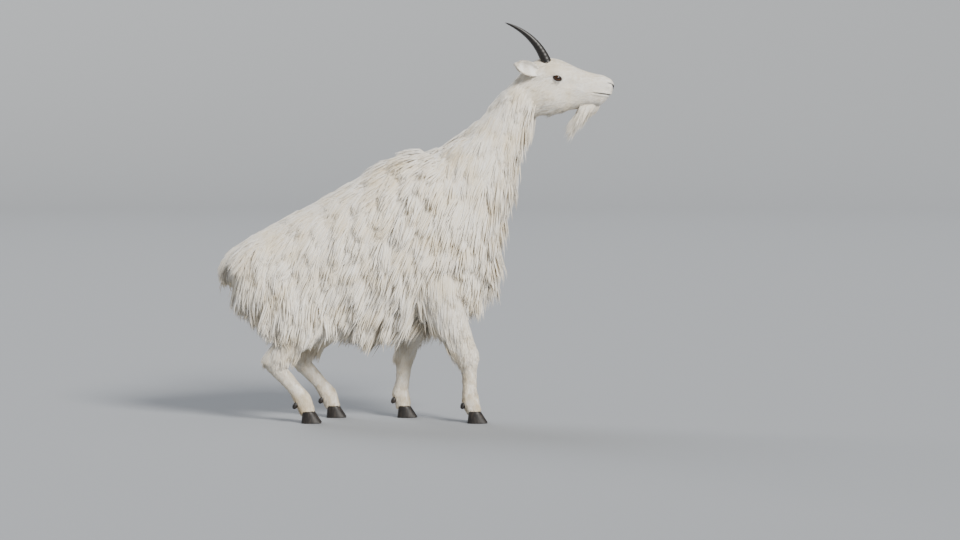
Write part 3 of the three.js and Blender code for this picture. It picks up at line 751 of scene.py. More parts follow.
@dataclass(frozen=True)
class Pelage:
    """Undyed goat hair: keratin, cream-white and dull, a little soiled low on the body, with painted shade
    greying each hair towards its root.

    The eye gets a soft, warm white with no shine, broken by fine strands along each tuft, with painted shade
    in the clefts between them. A band holds the two values between which its effect goes from none to full.
    """

    tip: str = "#FDFBF7"
    # The root colour is painted shade: the hair is drawn greyer towards its root, as if deep in the coat.
    root: str = "#EDE7DC"
    warm: str = "#F8F1E2"
    worn: str = "#FAF5EA"
    # The parting colour is painted shade in the clefts between a tuft's strands.
    parting: str = "#E2DACC"
    bare: str = "#2A2322"
    soil: str = "#D6C9B0"
    roughness: float = 0.62
    strands: float = 7.0
    mottle_mm: float = 95.0
    streak_mm: float = 28.0
    grain_mm: float = 2.5
    mottle_band: Band = (0.42, 0.72)
    root_band: Band = (0.45, 0.0)
    soil_band: Band = (0.3, 0.02)
    streak_band: Band = (0.2, 0.8)
    parting_band: Band = (0.58, 0.3)
    # How much of the painted root shade the skin takes, as if shaded under the coat.
    skin_depth: float = 0.35

    def colour(self, tree: Tree, depth: Socket | float) -> Socket:
        """The coat's colour, the same on skin and hair.

        Args:
            tree: the material's node tree.
            depth: 0 at a hair's root and 1 at its tip.

        Returns:
            The colour's socket.
        """
        place = add(tree, "ShaderNodeTexCoord", {}, "Object")
        mottle, streak = (
            add(tree, "ShaderNodeTexNoise", {"Vector": place, "Scale": 1 / (size * MM), "Detail": detail})
            for size, detail in ((self.mottle_mm, 3.0), (self.streak_mm, 2.0)))
        height = add(tree, "ShaderNodeSeparateXYZ", {0: place}, "Z")
        low, streaks = (
            add(tree, "ShaderNodeMapRange", {**SMOOTH, "Value": value, "From Min": none, "From Max": full})
            for value, (none, full) in ((height, self.soil_band), (streak, self.streak_band)))
        soiled = add(tree, "ShaderNodeMath", {"operation": "MULTIPLY", 0: low, 1: streaks})
        dark = add(tree, "ShaderNodeAttribute", {"attribute_name": "dark"}, "Fac")
        # Layers: a random warm mottle, painted shade towards each hair's root, soil low on the body, bare
        # black skin.
        return layered(tree, linear(self.tip), (
            (mottle, self.mottle_band, self.warm, "MIX"), (depth, self.root_band, self.root, "MIX"),
            (soiled, None, self.soil, "MULTIPLY"), (dark, None, self.bare, "MIX")))

    def hair(self) -> bpy.types.Material:
        """The finish of the tufts. Each has a few strands, coarser than real hairs, so that they show."""
        material, tree, shader = fresh("goat_hair")
        depth, tone = (add(tree, "ShaderNodeAttribute", {"attribute_name": name}, "Fac")
                       for name in ("along", "tone"))
        spread = add(tree, "ShaderNodeUVMap", {"uv_map": BAKE_MAP})
        scale = (self.strands / PATCH, 0.5 / PATCH, 0.0)
        laid = add(tree, "ShaderNodeMapping", {"Vector": spread, "Scale": scale})
        strand = add(tree, "ShaderNodeTexNoise",
                     {"noise_dimensions": "2D", "Vector": laid, "Scale": 1.0, "Detail": 1.0})
        # The strands' noise darkens their clefts with painted shade, and also bumps the surface.
        colour = layered(tree, self.colour(tree, depth), (
            (tone, None, self.worn, "MULTIPLY"), (strand, self.parting_band, self.parting, "MULTIPLY")))
        bump = add(tree, "ShaderNodeBump", {"Height": strand, "Strength": 0.7, "Distance": 0.5 * MM})
        fill(shader, {"Base Color": colour, "Normal": bump, "Roughness": self.roughness,
                      "Specular IOR Level": 0.25, "Sheen Weight": 0.15, "Sheen Roughness": 0.5})
        return material

    def skin(self) -> bpy.types.Material:
        """The finish of the skin under the tufts: short velvet hair, and bare black skin at nose and lids."""
        material, tree, shader = fresh("goat_skin_and_short_hair")
        place = add(tree, "ShaderNodeTexCoord", {}, "Object")
        grain = add(tree, "ShaderNodeTexNoise",
                    {"Vector": place, "Scale": 1 / (self.grain_mm * MM), "Detail": 3.0})
        bump = add(tree, "ShaderNodeBump", {"Height": grain, "Strength": 0.5, "Distance": 0.6 * MM})
        # The skin's colour takes a little of the painted root shade, as if shaded under the coat.
        fill(shader, {"Base Color": self.colour(tree, self.skin_depth), "Normal": bump,
                      "Roughness": self.roughness, "Specular IOR Level": 0.3})
        return material


@dataclass(frozen=True)
class Keratin:
    """Horn, the keratin of horns and hoofs, grown in layers and worn smooth: near black, with a satin shine.

    `squeeze` is how much the layers' pattern is pressed together along x, y and z.
    """

    name: str
    dark: str
    pale: str
    roughness: float
    layer_mm: float
    bump_mm: float
    squeeze: Point
    pale_band: Band = (0.45, 0.85)
    ior: float = 1.54

    def material(self) -> bpy.types.Material:
        """The finish, with paler layers that stand out a little."""
        material, tree, shader = fresh(self.name)
        place = add(tree, "ShaderNodeTexCoord", {}, "Object")
        laid = add(tree, "ShaderNodeMapping", {"Vector": place, "Scale": self.squeeze})
        layers = add(tree, "ShaderNodeTexNoise",
                     {"Vector": laid, "Scale": 1 / (self.layer_mm * MM), "Detail": 4.0, "Roughness": 0.6})
        colour = layered(tree, linear(self.dark), [(layers, self.pale_band, self.pale, "MIX")])
        bump = add(tree, "ShaderNodeBump", {"Height": layers, "Strength": 0.6, "Distance": self.bump_mm * MM})
        fill(shader, {"Base Color": colour, "Normal": bump, "Roughness": self.roughness, "IOR": self.ior})
        return material


@dataclass(frozen=True)
class WetEye:
    """A wet eyeball: an amber-brown iris behind a clear, glossy cornea, with a goat's long level pupil."""

    iris: str = "#4A2E14"
    fibre: str = "#35200E"
    rim: str = "#140C07"
    pupil: str = "#050404"
    white: str = "#3A2B20"
    iris_share: float = 0.9
    pupil_size: tuple[float, float] = (0.44, 0.17)

    def material(self) -> bpy.types.Material:
        """The finish. The gaze map holds each point's forward and upward offset from the eye's axis, over its
        radius, as 0.5 + offset / 2. A tear's film is the glossy coat."""
        material, tree, shader = fresh("wet_eyeball")
        gaze = add(tree, "ShaderNodeUVMap", {"uv_map": GAZE_MAP})
        fibre = add(tree, "ShaderNodeTexNoise", {"Vector": gaze, "Scale": 14.0, "Detail": 3.0})
        offset = add(tree, "ShaderNodeMapping",
                     {"Vector": gaze, "Location": (-1.0, -1.0, 0.0), "Scale": (2.0, 2.0, 0.0)})
        wide, tall = self.pupil_size
        slot = add(tree, "ShaderNodeMapping", {"Vector": offset, "Scale": (1 / wide, 1 / tall, 0.0)})
        out, slot_out = (add(tree, "ShaderNodeVectorMath", {"operation": "LENGTH", 0: way}, "Value")
                         for way in (offset, slot))
        edge = self.iris_share
        colour = layered(tree, linear(self.iris), (
            (fibre, (0.3, 0.75), self.fibre, "MIX"), (out, (edge * 0.72, edge), self.rim, "MIX"),
            (out, (edge, edge + 0.06), self.white, "MIX"), (slot_out, (1.08, 0.92), self.pupil, "MIX")))
        fill(shader, {"Base Color": colour, "Roughness": 0.08, "IOR": 1.38, "Coat Weight": 0.5,
                      "Coat Roughness": 0.02})
        return material


HORN_SHEATH = Keratin("horn_sheath", dark="#15120F", pale="#332C26", roughness=0.42, layer_mm=9.0,
                      bump_mm=0.3, squeeze=(1.0, 1.0, 2.4))
HOOF_WALL = Keratin("hoof_wall", dark="#1B1714", pale="#4A4038", roughness=0.5, layer_mm=7.0,
                    bump_mm=0.35, squeeze=(1.0, 1.0, 0.35))


@dataclass(frozen=True)
class Eyes:
    """The eyeballs, in the head's millimetres."""

    at: Point = (100.0, 56.0, 26.0)
    radius: float = 16.2
    aim: Point = (0.16, 0.98, 0.05)

    def middle(self, side: Side) -> Array:
        """The middle of one eye."""
        return np.array(self.at) * (1, side.value, 1)

    def make(self, maker: Maker) -> None:
        """Makes both eyeballs.

        A ball is a globe whose pole looks along the eye's axis. The gaze map holds the forward and upward
        offsets from that axis.
        """
        material = WetEye().material()
        for side in Side:
            axis = unit(np.array(self.aim) * (1, side.value, 1))
            fore = unit(FORWARD - axis * axis[0])
            rise = np.cross(axis, fore)
            rise = rise * np.sign(rise[2])
            ball = self.radius * globe(25, 48, 0.02) @ np.stack([fore, rise, axis])
            surface = tube(head_to_body(self.middle(side) + ball))
            offset = (body_to_head(surface.points) - self.middle(side)) / self.radius
            gaze = np.stack([offset @ fore, offset @ rise], -1) * 0.5 + 0.5
            maker.make(f"eyeball_{side.word}", surface, material, "eye", [f"eye_{side.word}"],
                       maps={GAZE_MAP: gaze[surface.faces.reshape(-1)]})


@dataclass(frozen=True)
class Horns:
    """The horns, in the head's millimetres: slender cones swept back in an arc, ringed towards the base."""

    foot: Point = (66.0, 22.0, 58.0)
    radius: float = 20.0
    thin: float = 0.86
    taper: float = 0.8
    length: float = 222.0
    lean: float = 0.32
    curve: float = 1.05
    spread: float = 20.0
    splay: float = 0.1
    ring_count: int = 9
    ringed_share: float = 0.55
    ring_height: float = 0.028

    def grid(self, side: Side) -> Array:
        """Rings along the arc: the chord to a share s of the length leans back by lean + curve·s / 2, the
        radius falls as (1 - s) to the power of the taper, and low ridges stand on the lower half.

        Args:
            side: which horn.

        Returns:
            Rings × sides × 3.
        """
        share = np.linspace(0.0, 1.0, 110)[:, None]
        chord = self.lean + self.curve * share / 2
        bend = self.lean + self.curve * share
        centre = np.concatenate([
            self.foot[0] - self.length * share * np.sin(chord),
            side.value * (self.foot[1] + self.spread * share**1.4),
            self.foot[2] + self.length * share * np.cos(chord),
        ], axis=1)
        splay = self.splay * side.value * np.ones_like(bend)
        heading = unit(np.concatenate([-np.sin(bend), splay, np.cos(bend)], axis=1))
        out = unit(ACROSS - heading * heading[:, 1:2])
        fore = np.cross(out, heading)
        turn = turns(36)[None]
        phase = share * self.ring_count / self.ringed_share + 0.03 * np.sin(3 * turn)
        swell = (1 - np.cos(2 * math.pi * phase)) / 2
        ridge = 1 + self.ring_height * (swell**2 - 0.4) * (1 - smoothstep(0.35, 0.62, share))
        radius = (self.radius * np.maximum(1 - share, 0.002) ** self.taper) * ridge
        return (centre[:, None] + out[:, None] * (np.cos(turn) * radius * self.thin)[..., None]
                + fore[:, None] * (np.sin(turn) * radius)[..., None])

    def make(self, maker: Maker) -> None:
        """Makes both horns."""
        material = HORN_SHEATH.material()
        for side in Side:
            maker.make(f"horn_sheath_{side.word}", tube(head_to_body(self.grid(side))), material, "horn",
                       [f"horn_{side.word}"])


@dataclass(frozen=True)
class Hoofs:
    """The claws and dewclaws of every foot.

    `wall` is the claw's outline from sole to top: at each share of the height, what its width is scaled by.
    """

    height: float = 42.0
    front: float = 42.0
    back: float = 30.0
    half: float = 17.0
    apart: float = 19.5
    slope: float = 27.0
    heel_slope: float = 5.0
    squareness: float = 0.85
    wall: tuple[tuple[float, float], ...] = (
        (0.0, 0.9), (0.0, 0.965), (0.02, 0.99), (0.06, 1), (0.15, 1), (0.3, 1), (0.45, 1), (0.6, 1),
        (0.75, 1), (0.88, 0.99), (0.96, 0.95), (1.0, 0.85), (1.0, 0.5),
    )
    dew_up: float = 62.0
    dew_behind: float = 27.0
    dew_apart: float = 15.0
    dew_size: Point = (9.0, 8.0, 13.0)
    dew_lean: float = 0.5

    def claw(self, x: float, y: float, inward: int) -> Surface:
        """One claw: its wall rises from a flat sole and slopes back in front. It is narrower at the toe, and
        flatter on the side of its neighbour.

        Args:
            x: where the claw's middle stands.
            y: how far to the side it stands.
            inward: the sign along y of the claw's neighbour.

        Returns:
            The closed claw.
        """
        rise, draw = (column[:, None] for column in np.array(self.wall).T)
        c, s = (bent(way(turns(44)[None]), self.squareness) for way in (np.cos, np.sin))
        reach = np.where(c > 0, self.front - self.slope * rise, self.back - self.heel_slope * rise)
        toe = 1 - 0.3 * np.maximum(c, 0) ** 2
        half = self.half * (1 - 0.16 * rise) * np.where(s * inward > 0, 0.84, 1.0) * toe
        return tube(np.stack([x + c * reach * draw, y + s * half * draw, self.height * rise + 0 * c], -1))

    def dewclaw(self, x: float, y: float) -> Surface:
        """One dewclaw: an egg that leans back."""
        return tube(pitched(globe(15, 24, 0.05) * self.dew_size, self.dew_lean) + (x, y, self.dew_up))

    def make(self, maker: Maker) -> None:
        """Makes each foot's claws and dewclaws."""
        material = HOOF_WALL.material()
        for end, legs in (("foreleg", FORELEGS), ("hindleg", HINDLEGS)):
            for leg in legs:
                for which, way in (("inner", -leg.side.value), ("outer", leg.side.value)):
                    name = f"{end}_{leg.side.word}_{which}"
                    claw = self.claw(leg.foot, leg.y + way * self.apart, -way)
                    dewclaw = self.dewclaw(leg.fetlock - self.dew_behind, leg.y + way * self.dew_apart)
                    maker.make(f"hoof_{name}", claw, material, "hoof", [f"claw_{name}"])
                    maker.make(f"dew_hoof_{name}", dewclaw, material, "hoof", [f"dewclaw_{name}"])


@dataclass(frozen=True)
class Bump:
    """A soft rise on both sides of the head: its place along x and z, its spread and its height."""

    at: tuple[float, float]
    spread: tuple[float, float]
    height: float

    def rise(self, x: Array, z: Array) -> Array:
        """Its height at places: a bell along x times a bell along z."""
        return self.height * bell(x - self.at[0], self.spread[0]) * bell(z - self.at[1], self.spread[1])


@dataclass(frozen=True)
class Face:
    """The forms of the face, in the head's millimetres.

    The bumps are the brow, the hollow under it, the jaw's muscle, the hollow of the cheek, the nostril's wing
    and the upper lip. A depth or height that is used along the skin's normals is in mm.
    """

    bumps: tuple[Bump, ...] = (
        Bump((102, 31), (24, 17), 9), Bump((146, 12), (22, 16), -5), Bump((70, -44), (40, 30), 6),
        Bump((156, -32), (30, 16), -3), Bump((286, 15), (12, 10), 4), Bump((262, -14), (30, 8), 2),
    )
    lid_size: tuple[float, float] = (13.8, 9.0)
    lid_thickness: float = 1.5
    lid_droop: float = 2.2
    lid_opening: float = 9.0
    crease: float = 1.6
    mouth_height: float = -15.5
    mouth_corner: float = 226.0
    mouth_front: float = 288.0
    mouth_slope: float = 0.03
    mouth_depth: float = 5.0
    lips: float = 1.7
    nostril_at: Point = (292.0, 17.5, 13.0)
    nostril_size: Point = (13.0, 10.0, 4.2)
    nostril_depth: float = 7.5
    nostril_wing: float = 1.8
    cleft: float = 2.2
    vein: float = 1.2
    pad_height: float = 13.0
    pad_half: float = 12.0
    pad_radii: tuple[float, float] = (9.0, 5.5)

    @staticmethod
    def muzzle_shift(x: Array, z: Array) -> Array:
        """How far points of the muzzle's end move along x: over the nose it is drawn back as the square of
        the height, under it in step with the depth down to the upper lip, then the lower lip a few
        millimetres more, and the chin in step with its own depth.

        Args:
            x: how far forward the points are.
            z: how high they are.

        Returns:
            The move of each in mm.
        """
        high, low = np.maximum(z - 20, 0) / 22, np.maximum(-z - 16, 0) / 28
        front = np.clip((20 - z) / 36, 0, 1)
        back = 6 * high**2 + 8 * front + 10 * low + 4.5 * smoothstep(-14, -18, z)
        return -back * smoothstep(252, 300, x)

    def drape(self, points: Array) -> Array:
        """How far the skin is drawn out over the eyeball: with h the height of a ball a little larger than it
        over the skin, the rise is (h + √(h² + 4)) / 2, which is near h where h is positive and dies away
        below.

        Args:
            points: places on the head before they move.

        Returns:
            The rise in mm along y, and none away from the eye.
        """
        eye = Eyes()
        x, across, z = points[..., 0], np.abs(points[..., 1]), points[..., 2]
        away = np.hypot(x - eye.at[0], z - eye.at[2])
        rise = eye.at[1] + np.sqrt(np.maximum((eye.radius + self.lid_thickness) ** 2 - away**2, 0.0)) - across
        return (rise + np.sqrt(rise**2 + 4)) / 2 * smoothstep(30, 17, away) * (across > 25)

    def lid_distance(self, points: Array) -> Array:
        """How far out from the eye's middle a point is, in the almond's own half widths. It is 1 on the lid's
        edge, and the almond is drawn down towards its front corner."""
        eye = Eyes().at
        dx = (points[..., 0] - eye[0]) / self.lid_size[0]
        dz = (points[..., 2] - eye[2] + self.lid_droop * dx) / self.lid_size[1]
        return np.sqrt(dx**2 + dz**2)

    def mouth_offset(self, points: Array) -> Array:
        """How far points are above the mouth's line, which rises a little from its front to its corner."""
        return points[..., 2] - self.mouth_height - self.mouth_slope * (self.mouth_front - points[..., 0])

    def nostril_distance(self, points: Array) -> Array:
        """How far a point is from a nostril's middle line, in the nostril's own half widths: a comma that
        rises towards its outer end."""
        deep, wide, tall = self.nostril_size
        x, y, z = self.nostril_at
        outer = (np.abs(points[..., 1]) - y) / wide
        high = (points[..., 2] - z - 4 * outer - 2.5 * outer**2) / tall
        inward = (points[..., 0] - x + 5.5 * outer) / deep
        return np.sqrt(outer**2 + high**2 + inward**2)

    def features(self, points: Array) -> Array:
        """How far the skin is moved along its normals by the eye's opening and the crease over it, the
        mouth's groove and lips, the nostrils and their wings, the upper lip's cleft and the vein before the
        eye.

        Args:
            points: places on the head.

        Returns:
            The move of each in mm, outwards where positive.
        """
        x, y, z = points.T
        ring, hole, line = self.lid_distance(points), self.nostril_distance(points), self.mouth_offset(points)
        lid = self.lid_opening * (smoothstep(0.7, 0.98, ring) - 1)
        crease = -self.crease * bell(ring - 1.75, 0.16) * (z > Eyes().at[2])
        vein = self.vein * bell(z + 4 + 0.3 * (x - 170), 5) * bell(x - 180, 30)
        mouth = self.lips * bell(np.abs(line) - 5.0, 3.6) - self.mouth_depth * bell(line, 1.9)
        nostril = self.nostril_wing * bell(hole - 1.75, 0.4) - self.nostril_depth * np.exp(-1.3 * hole**2)
        cleft = -self.cleft * bell(y, 2.0) * smoothstep(292, 300, x)
        cleft = cleft * smoothstep(-17, -12, z) * (1 - smoothstep(8, 16, z))
        at_side = smoothstep(20, 35, np.abs(y))
        at_mouth = smoothstep(self.mouth_corner - 4, self.mouth_corner + 16, x)
        return (lid + crease + vein) * at_side + mouth * at_mouth + nostril + cleft

    def sculpted(self, rings: int, sides: int) -> Surface:
        """The head's skin: the loft's grid, moved sideways by the bumps and out over the eyeballs, drawn back
        at the muzzle's end, then moved along its normals by the features.

        The grid is closer at the height of the eyes, at the muzzle, and at the sides, where an angle a stands
        at a - 0.22 sin 2a.

        Args:
            rings: rings between the domes.
            sides: points round each ring.

        Returns:
            The head in its own millimetres.
        """
        even = np.linspace(0, 1, 400)
        reach = through(np.array(HEAD.rows), even)[:, 0]
        crowding = np.cumsum(1 + 1.3 * bell(reach - Eyes().at[0], 26) + 0.8 * smoothstep(205, 260, reach))
        share = np.interp(np.linspace(crowding[0], crowding[-1], rings), crowding, even)
        angle = turns(sides)
        points = HEAD.grid(share, angle - 0.22 * np.sin(2 * angle), 16)
        x, y, z = (points[..., i] for i in range(3))
        out = sum(bump.rise(x, z) for bump in self.bumps)
        points[..., 1] = y + out * np.clip(y / 20, -1, 1)
        points[..., 0] = x + self.muzzle_shift(x, z)
        points[..., 1] += np.sign(y) * self.drape(points)
        surface = tube(points)
        surface.points = surface.points + surface.normals() * self.features(surface.points)[:, None]
        return surface

    def dark(self, points: Array) -> Array:
        """How dark the bare skin is: the nose pad, which is a bar from nostril to nostril and a stem down to
        the lip, the lips' edge, and the rims of the lids.

        Args:
            points: places in the head's millimetres.

        Returns:
            A value from 0 to 1 for each.
        """
        x, y, z = (points[..., i] for i in range(3))
        across = np.abs(y)
        bar = np.hypot(np.maximum(across - self.pad_half, 0), z - self.pad_height)
        stem = np.hypot(across * 1.6, np.maximum(-13 - z, 0) + np.maximum(z - self.pad_height, 0))
        wing = 5 * self.nostril_distance(points) - 1
        union = -2 * np.log(np.exp(-bar / 2) + np.exp(-stem / 2) + np.exp(-wing / 2))
        pad = smoothstep(*self.pad_radii, union) * smoothstep(270, 284, x)
        rim = smoothstep(1.36, 1.12, self.lid_distance(points)) * smoothstep(20, 35, across)
        lips = smoothstep(3.6, 2.0, np.abs(self.mouth_offset(points)))
        lips = 0.85 * lips * smoothstep(self.mouth_corner + 4, self.mouth_corner + 34, x)
        return np.clip(np.maximum.reduce([pad, rim, lips]), 0, 1)


@dataclass(frozen=True)
class Lids:
    """The lids' bare rims, in the head's millimetres: a thin roll on the eyeball, along an almond."""

    reach: tuple[float, float] = (13.2, 8.6)
    radius: float = 1.35
    droop: float = 1.9
    sharpness: float = 1.2
    off_ball: float = 0.9
    flatness: float = 0.8
    steps: int = 96
    sides: int = 12

    def body(self, side: Side) -> Surface:
        """One eye's rim.

        The almond is x = a·cos t and z = b·sin t, with the sine's power above one to sharpen the corners and
        its front corner drawn down. Each point is put where it lies on a ball a little larger than the
        eyeball, and a small circle is carried round the line.

        Args:
            side: which eye.

        Returns:
            A closed ring.
        """
        eye = Eyes()
        turn = turns(self.steps)[:, None]
        x = self.reach[0] * np.cos(turn)
        z = self.reach[1] * bent(np.sin(turn), self.sharpness) - self.droop * x / self.reach[0]
        out = np.sqrt(np.maximum((eye.radius + self.off_ball) ** 2 - x**2 - z**2, 1.0))
        line = np.concatenate([x, out, z], axis=1)
        away = unit(line)
        aside = np.cross(unit(np.roll(line, -1, axis=0) - np.roll(line, 1, axis=0)), away)
        angle = turns(self.sides)[None, :, None]
        roll = self.radius * (np.cos(angle) * away[:, None] * self.flatness + np.sin(angle) * aside[:, None])
        points = (line[:, None] + roll) * (1, side.value, 1) + eye.middle(side)
        index = np.arange(self.steps * self.sides).reshape(self.steps, self.sides)
        return Surface(points.reshape(-1, 3), cells(np.concatenate([index, index[:1]]))).outward()


@dataclass(frozen=True)
class Ears:
    """The ears, in the head's millimetres: leaves rolled into cups that open forward and outward."""

    root: Point = (34.0, 50.0, 42.0)
    heading: Point = (-0.7, 0.66, 0.28)
    opening: Point = (0.66, 0.72, 0.12)
    length: float = 122.0
    sunk: float = 16.0
    droop: float = 14.0
    half: float = 27.0
    least_half: float = 1.4
    outline: Row = (0.42, 0.6, 0.86, 1.0, 1.0, 0.9, 0.7, 0.4, 0.08)
    thick: tuple[float, float] = (4.5, 2.6)
    curl: tuple[float, float] = (2.3, 1.1)
    bulb: float = 0.12

    def axes(self) -> tuple[Array, Array, Array]:
        """The left ear's axes: towards its tip, out of its opening, and across."""
        heading = unit(np.array(self.heading))
        opening = np.array(self.opening)
        opening = unit(opening - heading * (opening @ heading))
        return heading, opening, np.cross(heading, opening)

    def body(self, side: Side, rings: int = 40, across: int = 18) -> Surface:
        """One ear. A ring is an arc of the curled leaf along its outer face and back along its inner one.

        Args:
            side: which ear.
            rings: rings from root to tip.
            across: points over each face.

        Returns:
            The closed ear in the head's millimetres.
        """
        heading, opening, flat = self.axes()
        share = np.linspace(0.0, 1.0, rings)[:, None]
        half = np.maximum(self.half * through(np.array(self.outline)[:, None], share[:, 0]), self.least_half)
        curl, thick = mix(*self.curl, share), mix(*self.thick, share)
        radius = 0.9 * half / np.sin(np.minimum(curl / 2, math.pi / 2))
        fill_in = 0.75 * np.maximum(0, 1 - share / self.bulb)
        edge = np.linspace(-1, 1, across)[None]
        rounded = thick / 2 * np.sqrt(np.maximum(0.0, 1 - np.abs(edge) ** 8))
        centre = self.root + heading * mix(-self.sunk, self.length, share) - UP * self.droop * share**2
        faces = []
        for spread, wall in ((edge, radius + rounded), (edge[:, ::-1], (radius - rounded) * (1 - fill_in))):
            turn = spread * curl / 2
            faces.append(centre[:, None] + flat * (np.sin(turn) * wall)[..., None]
                         + opening * (radius / 2 - np.cos(turn) * wall)[..., None])
        return tube(np.concatenate(faces, axis=1) * (1, side.value, 1))


@dataclass
class Roots:
    """Places on the skin where tufts grow: points in mm and normals, and the share along the region's form
    and the angle round it."""

    points: Array
    normals: Array
    share: Array
    angle: Array

    def kept(self, mask: Array) -> Roots:
        """The roots where `mask` is true."""
        return Roots(self.points[mask], self.normals[mask], self.share[mask], self.angle[mask])

    def chart(self) -> Array:
        """Each root's u, v on the unwrapped form: its angle as a share of a turn, and its share."""
        return np.stack([(self.angle / (2 * math.pi)) % 1.0, self.share], -1)

    def __len__(self) -> int:
        """How many there are."""
        return len(self.points)


def scatter(surface: Surface, per_cm2: float, rng: np.random.Generator) -> tuple[Array, Array]:
    """Draws points evenly over a surface.

    The running sum of the faces' areas is cut into equal steps with one jittered draw in each, and a draw
    lands in its triangle at 1 - √a, √a(1 - b), √a·b of the corners.

    Args:
        surface: what they lie on.
        per_cm2: how many to a square centimetre.
        rng: the source of the draws.

    Returns:
        The points and their normals.
    """
    corners = surface.points[surface.faces]
    areas = np.linalg.norm(np.cross(corners[:, 1] - corners[:, 0], corners[:, 2] - corners[:, 0]), axis=1) / 2
    total = np.cumsum(areas)
    count = int(total[-1] / 100 * per_cm2)
    draws = (np.arange(count) + rng.random(count)) / count * total[-1]
    face = np.minimum(np.searchsorted(total, draws), len(areas) - 1)
    a, b = np.sqrt(rng.random(count)), rng.random(count)
    weights = np.stack([1 - a, a * (1 - b), a * b], -1)[..., None]
    normals = surface.normals()[surface.faces[face]]
    return np.sum(corners[face] * weights, axis=1), unit(np.sum(normals * weights, axis=1))


@dataclass(frozen=True)
class Pelt:
    """How the hair of a region grows. A row holds values at stations along the region's form.

    over, side, under: rows of the hair's length in mm on top of the form, at its side and beneath it.
    lie: which way the hair runs, before it is laid into the skin.
    lift: rows of how far it stands off on top of the form, at its side and beneath it.
    per_cm2: a row of tufts to a square centimetre.
    sag: how much it falls under its own weight.
    clump: how far apart the locks are that the tufts draw together into, in mm.
    pull: how strongly they do.
    shag: how unevenly the locks stand off, as a share of their lift.
    """

    over: Row
    side: Row
    under: Row
    lie: Point
    lift: tuple[Row, ...]
    per_cm2: Row
    sag: float = 0.35
    clump: float = 34.0
    pull: float = 0.55
    shag: float = 0.9

    @staticmethod
    def along(row: Sequence[float], share: Array) -> Array:
        """A row's values at shares of its length."""
        return through(np.array(row, float)[:, None], share)[:, 0]

    def blended(self, rows: Sequence[Sequence[float]], roots: Roots) -> Array:
        """Goes from the side's value to the upper or lower one by the 1.5th power of the angle's sine."""
        over, side, under = (self.along(row, roots.share) for row in rows)
        up, down = (np.maximum(way * np.sin(roots.angle), 0) ** 1.5 for way in (1, -1))
        return side + (over - side) * up + (under - side) * down

    def lengths(self, roots: Roots) -> Array:
        """The hair's length at each root."""
        return self.blended((self.over, self.side, self.under), roots)


class Cut(Enum):
    """How finely a tuft is cut: where its rings stand along it, and how wide it is there."""

    LONG = ((0.0, 0.75), (0.42, 1.0), (0.84, 0.52))
    SHORT = ((0.0, 0.85), (0.5, 0.8))


